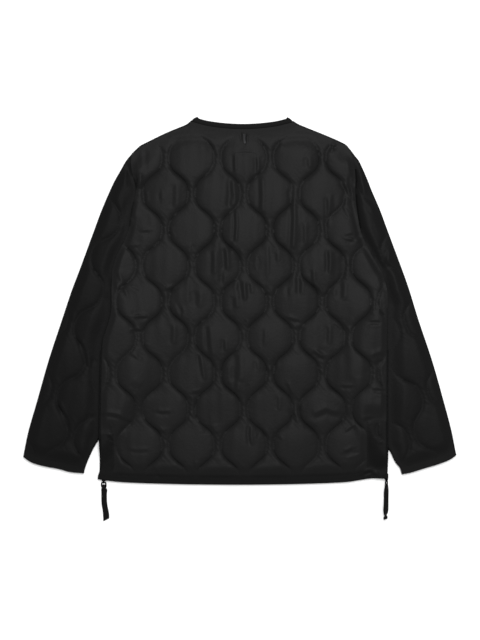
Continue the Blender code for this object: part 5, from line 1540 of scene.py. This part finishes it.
def hanger_rings():
    half_t = HANGER["thick"] / 2
    rings = []
    beside_x, beside_y = (grid.ravel() for grid in np.meshgrid((-3.0, 0.0, 3.0), (-4.0, 0.0, 4.0)))
    for x, y, across in hanger_path():
        share = (y - HANGER["bottom"]) / (HANGER["top"] - HANGER["bottom"])
        x += HANGER["x"] + HANGER["lean"] * (0.5 - share)
        level = back_high(x + beside_x, y + beside_y).max() + SEAM_GAP + half_t
        middle = Vector((x, y, level + abs(across.z) * (HANGER["width"] / 2 - half_t)))
        flat = Vector((0.0, 0.0, 1.0)) if abs(across.z) < 1e-6 else Vector((-across.z, 0.0, across.x))
        rings.append(tape_section(middle, across * HANGER["width"] / 2, flat * half_t, 0.1))
    return rings


hanger = make_piece("hanging_loop_tape", *skin(hanger_rings()), LOOP_TAPE, "binding_cloth", ["hanging_loop"])
tell(hanger)

# %% [markdown]
# ## Side zips
# Each side seam closes with a fine moulded zip. Its teeth bite from the upper and the lower tape in
# turn, so one small tooth is repeated, shifted by half a pitch for the other row.

# %% Zip teeth and tape
ZIP_WIDTH = 2.2
ZIP_TOP = 250.0
ZIP_START = 16.0                 # above the puller's hinge, where the slider ends
ZIP_STRAIGHT = 40.0              # below this height the zip runs straight, under the hem's corner
ZIP_TAPE_SHAPE = ((-3.2, -0.6), (0.6, -0.6), (0.6, 0.6), (-3.2, 0.6))
ZIP_SHARP = math.radians(30)
TOOTH_PITCH = 1.7
TOOTH_CORNERS = ((-0.5, -0.5), (0.5, -0.5), (0.5, 0.5), (-0.5, 0.5))
# from the root of a tooth to its tip: level, width and length
TOOTH_LEVELS = ((-0.28, 0.62, 0.36), (-0.1, 0.9, 0.62), (0.5, 1.0, 0.5), (1.22, 0.86, 0.42))


def make_teeth(x, heights, z):
    """Points and faces of one chain: every other tooth is turned over."""
    spots, faces = [], []
    for number, (px, py, pz) in enumerate(zip(x, heights, z)):
        way = 1.0 if number % 2 else -1.0
        first = len(spots)
        for level, wide, long in TOOTH_LEVELS:
            spots += [(px + a * ZIP_WIDTH * wide, py + b * TOOTH_PITCH * long * 1.5, pz + way * level)
                      for a, b in TOOTH_CORNERS]
        rings = [[first + 4 * k + i for i in range(4)] for k in range(4)]
        rings = rings if way > 0 else rings[::-1]
        for lower, upper in zip(rings, rings[1:]):
            faces += [(lower[i], lower[(i + 1) % 4], upper[(i + 1) % 4], upper[i]) for i in range(4)]
        faces += [tuple(rings[0][::-1]), tuple(rings[-1])]
    return spots, faces


def make_zip(side):
    sign = SIGN[side]
    path = ROUGH[side]["side"]
    heights = np.arange(ZIP_TOP, PULLS[side]["pivot"][1] + ZIP_START, -TOOTH_PITCH / 2)
    x = np.interp(np.maximum(heights, ZIP_STRAIGHT), path[::-1, 1], path[::-1, 0])
    x += sign * (SEAM_GAP + ZIP_WIDTH / 2)
    z = FRONT_WALL + SEAM_GAP / 2 + lift(x, heights)
    teeth = make_piece(f"zip_{side}_teeth", *make_teeth(x, heights, z), ZIP_ACETAL, "zip_chain",
                       [f"zip_{side}"])
    rings = []
    for px, py, pz in zip(x[::8], heights[::8], z[::8]):
        rings.append([Vector((px + sign * a, py, pz + b)) for a, b in ZIP_TAPE_SHAPE[::int(sign)]])
    tape = make_piece(f"zip_{side}_tape", *skin(rings), ZIP_TAPE, "zip_chain")
    for piece in (teeth, tape):
        piece.data.set_sharp_from_angle(angle=ZIP_SHARP)
        tell(piece)


for side in SIDES:
    make_zip(side)

# %% [markdown]
# ## Sliders, wire pullers and press studs
# These small solids already have their true form, so they keep it and only get their plated
# finish. The wire is rounded so that no facet shows. Its points are joined first, because a
# subdivision would otherwise pull every triangle apart, and the plating then gives back the
# thickness that the rounding takes.

# %% Finish the small metal parts
PLATING = 0.45 * MM
JOIN_WITHIN = 0.01 * MM


def dress(node, material, smooth=0):
    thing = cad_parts[node]
    thing.data.materials.clear()
    thing.data.materials.append(material)
    if smooth:
        thing.modifiers.new("joiner", "WELD").merge_threshold = JOIN_WITHIN
        rounder = thing.modifiers.new("rounder", "SUBSURF")
        rounder.levels = rounder.render_levels = smooth
        plating = thing.modifiers.new("plating", "DISPLACE")
        plating.strength = PLATING
        plating.mid_level = 0.0


for side in SIDES:
    dress(f"slider_{side}", ZINC)
    dress(f"puller_{side}", ZINC, 2)
studs = sorted(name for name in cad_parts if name.startswith("press_stud_"))
for stud in studs:
    dress(stud, BRASS)
print("metal parts finished:", 2 * len(SIDES) + len(studs))

# %% [markdown]
# ## Pull tabs
# A woven tape is folded round the bar of the wire puller and its two layers are sewn together. It
# rides with the puller, so its sections are placed in the pull's own frame and then turned with it.

# %% Fold the tape of each pull tab
BAR_DROP = 9.5                   # from the hinge to the bar that the tape is folded round
TAPE = {"thick": 1.1, "eye": 1.6, "eye_long": 4.6, "eye_width": 6.8, "air": 0.4,
        "slant": {"left": 0.54, "right": 0.2}}
# each row: distance below the hinge, shift to the side, width, turn of the tape in degrees
TAPE_ROWS = {
    "left": ((9.5, 0.0, 6.2, 0), (11.0, 0.1, 9.0, 0), (15.0, 0.8, 11.2, 0), (21.0, 0.5, 10.2, 0),
             (33.0, 0.4, 10.3, 0), (44.0, 1.4, 10.4, 0), (52.0, 3.1, 10.6, 0), (61.0, 4.2, 10.9, 0),
             (70.0, 4.6, 10.9, 0)),
    "right": ((9.5, 0.0, 6.2, 0), (12.0, 0.2, 8.5, -5), (15.0, -0.4, 10.6, -15), (21.0, -1.0, 10.4, -24),
              (33.0, -1.3, 10.4, -20), (44.0, -1.9, 10.8, -22), (53.0, -2.7, 11.2, -26),
              (60.0, -3.3, 10.4, -12), (64.0, -4.2, 8.8, 14), (67.0, -4.3, 9.0, -24),
              (70.6, -4.3, 8.2, -26)),
}


def pull_matrix(side):
    return Matrix.Translation(PULLS[side]["pivot"]) @ Matrix.Rotation(PULLS[side]["roll"], 4, "Y")


def tab_layer(side, distance_down, way):
    """Middle, half width and half thickness of one layer of the tab."""
    rows = np.array(TAPE_ROWS[side])
    end = rows[-1, 0]
    shift, width, turn = (float(np.interp(distance_down, rows[:, 0], rows[:, k])) for k in (1, 2, 3))
    settle = float(ease((distance_down - BAR_DROP - 1.0) / 5.0))
    spread = (TAPE["thick"] + TAPE["air"]) / 2
    middle = Vector((shift, -distance_down, -PULLS[side]["drop"] - settle * PULLS[side]["sink"]))
    slant = TAPE["slant"][side] * float(ease((distance_down - end + 20.0) / 20.0)) * width / 2
    twist = Matrix.Rotation(math.radians(turn), 3, "Y")
    up = twist @ Vector((0.0, 0.0, way))
    level = TAPE["eye"] + settle * (spread - TAPE["eye"])
    return middle + up * level, twist @ Vector((width / 2, slant, 0.0)), up * TAPE["thick"] / 2


def make_tab(side):
    bar = Vector((0.0, -BAR_DROP, -PULLS[side]["drop"]))
    end = TAPE_ROWS[side][-1][0]
    stops = np.linspace(12.0, end, 40)
    parts = [tab_layer(side, float(stop), -1.0) for stop in stops[::-1]]
    for turn in range(-90, 91, 15):
        angle = math.radians(turn)
        out = Vector((0.0, math.cos(angle), math.sin(angle)))
        reach = Vector((0.0, out.y * TAPE["eye_long"], out.z * TAPE["eye"]))
        parts.append((bar + reach, Vector((TAPE["eye_width"] / 2, 0.0, 0.0)), out * TAPE["thick"] / 2))
    parts += [tab_layer(side, float(stop), 1.0) for stop in stops]
    turn_in = pull_matrix(side)
    rings = [[turn_in @ spot for spot in tape_section(*part, 0.05)] for part in parts]
    made = make_piece(f"pull_{side}_tape", *skin(rings), PULL_TAPE, "binding_cloth",
                      [f"pull_tape_{side}"], f"pull_{side}")
    tell(made)
    return made


tabs = {side: make_tab(side) for side in SIDES}

# %% [markdown]
# ## What each piece of cloth is
# For each piece of cloth, the size that it was cut to and its area, with 4 % added and doubled for a
# sleeve, are worked out from its outline and then not kept. A pattern piece isn't a rectangle, so its
# own area is worked out as well.


def loop_area(loop):
    """Area inside a loop, in square metres."""
    x, y = loop[:, 0], loop[:, 1]
    return abs(float(np.sum(x * np.roll(y, -1) - np.roll(x, -1) * y))) / 2 * MM * MM


def declare(piece, loop, layers=1.0):
    size = np.ptp(loop[:, :2], axis=0) * MM
    area = loop_area(loop) * 1.04 * layers


declare(back, BACK_LOOP)
for side in SIDES:
    declare(fronts[side]["piece"], fronts[side]["loop"])
    declare(sleeves[side]["piece"], sleeves[side]["loop"], layers=2.0)

# %% [markdown]
# ## Floor and light
# Black cloth is shown by its shine alone, so it needs one very broad lamp above: the crowns of the
# cushions mirror it and the slopes beside the stitches don't. A pale floor and a grey world fill
# the shadows. The standard view keeps the values as the shader makes them.

# %% A pale floor
FLOOR_HALF, FLOOR_LEVEL = 6, -0.0004     # in metres; the floor lies a hair lower than the cloth
GRAIN_MM = 33.33                         # cloudiness of a painted floor

# matt paint: even and pale, with faint clouds
paint, paint_tree, paint_shader = new_material("matt_white_floor", Roughness=0.9, Specular_IOR_Level=0.2)
grain = add_node(paint_tree, "ShaderNodeTexNoise", Scale=noise_scale(GRAIN_MM), Detail=2.0,
                 Vector=add_node(paint_tree, "ShaderNodeTexCoord").outputs["Object"])
tone = add_node(paint_tree, "ShaderNodeMix", {"data_type": "RGBA"}, in0=grain.outputs["Fac"],
                in6=linear("#f2f2f2"), in7=linear("#f6f6f6"))
paint_tree.links.new(tone.outputs[2], paint_shader.inputs["Base Color"])
corners = [(a * FLOOR_HALF, b * FLOOR_HALF, FLOOR_LEVEL) for a, b in ((-1, -1), (1, -1), (1, 1), (-1, 1))]
floor_mesh = bpy.data.meshes.new("floor")
floor_mesh.from_pydata(corners, [], [(0, 1, 2, 3)])
floor_mesh.materials.append(paint)
floor = bpy.data.objects.new("floor", floor_mesh)
scene.collection.objects.link(floor)
print("the floor is", 2 * FLOOR_HALF, "m wide")

# %% Lamp and world

lamp = bpy.data.lights.new("broad_soft_lamp", "AREA")
lamp.shape = "RECTANGLE"
lamp.size = 1.1
lamp.size_y = 1.8
lamp.energy = 103.5
lamp_holder = bpy.data.objects.new("broad_soft_lamp", lamp)
lamp_holder.location = (0.25, 0.95, 3.2)
scene.collection.objects.link(lamp_holder)

world = bpy.data.worlds.new("soft_grey_room")
world.use_nodes = True
world.node_tree.nodes["Background"].inputs["Color"].default_value = (1.0, 1.0, 1.0, 1.0)
world.node_tree.nodes["Background"].inputs["Strength"].default_value = 0.7
scene.world = world
scene.view_settings.view_transform = "Standard"
print("lamp:", lamp.energy, "W over", round(lamp.size * lamp.size_y, 2), "square metres")
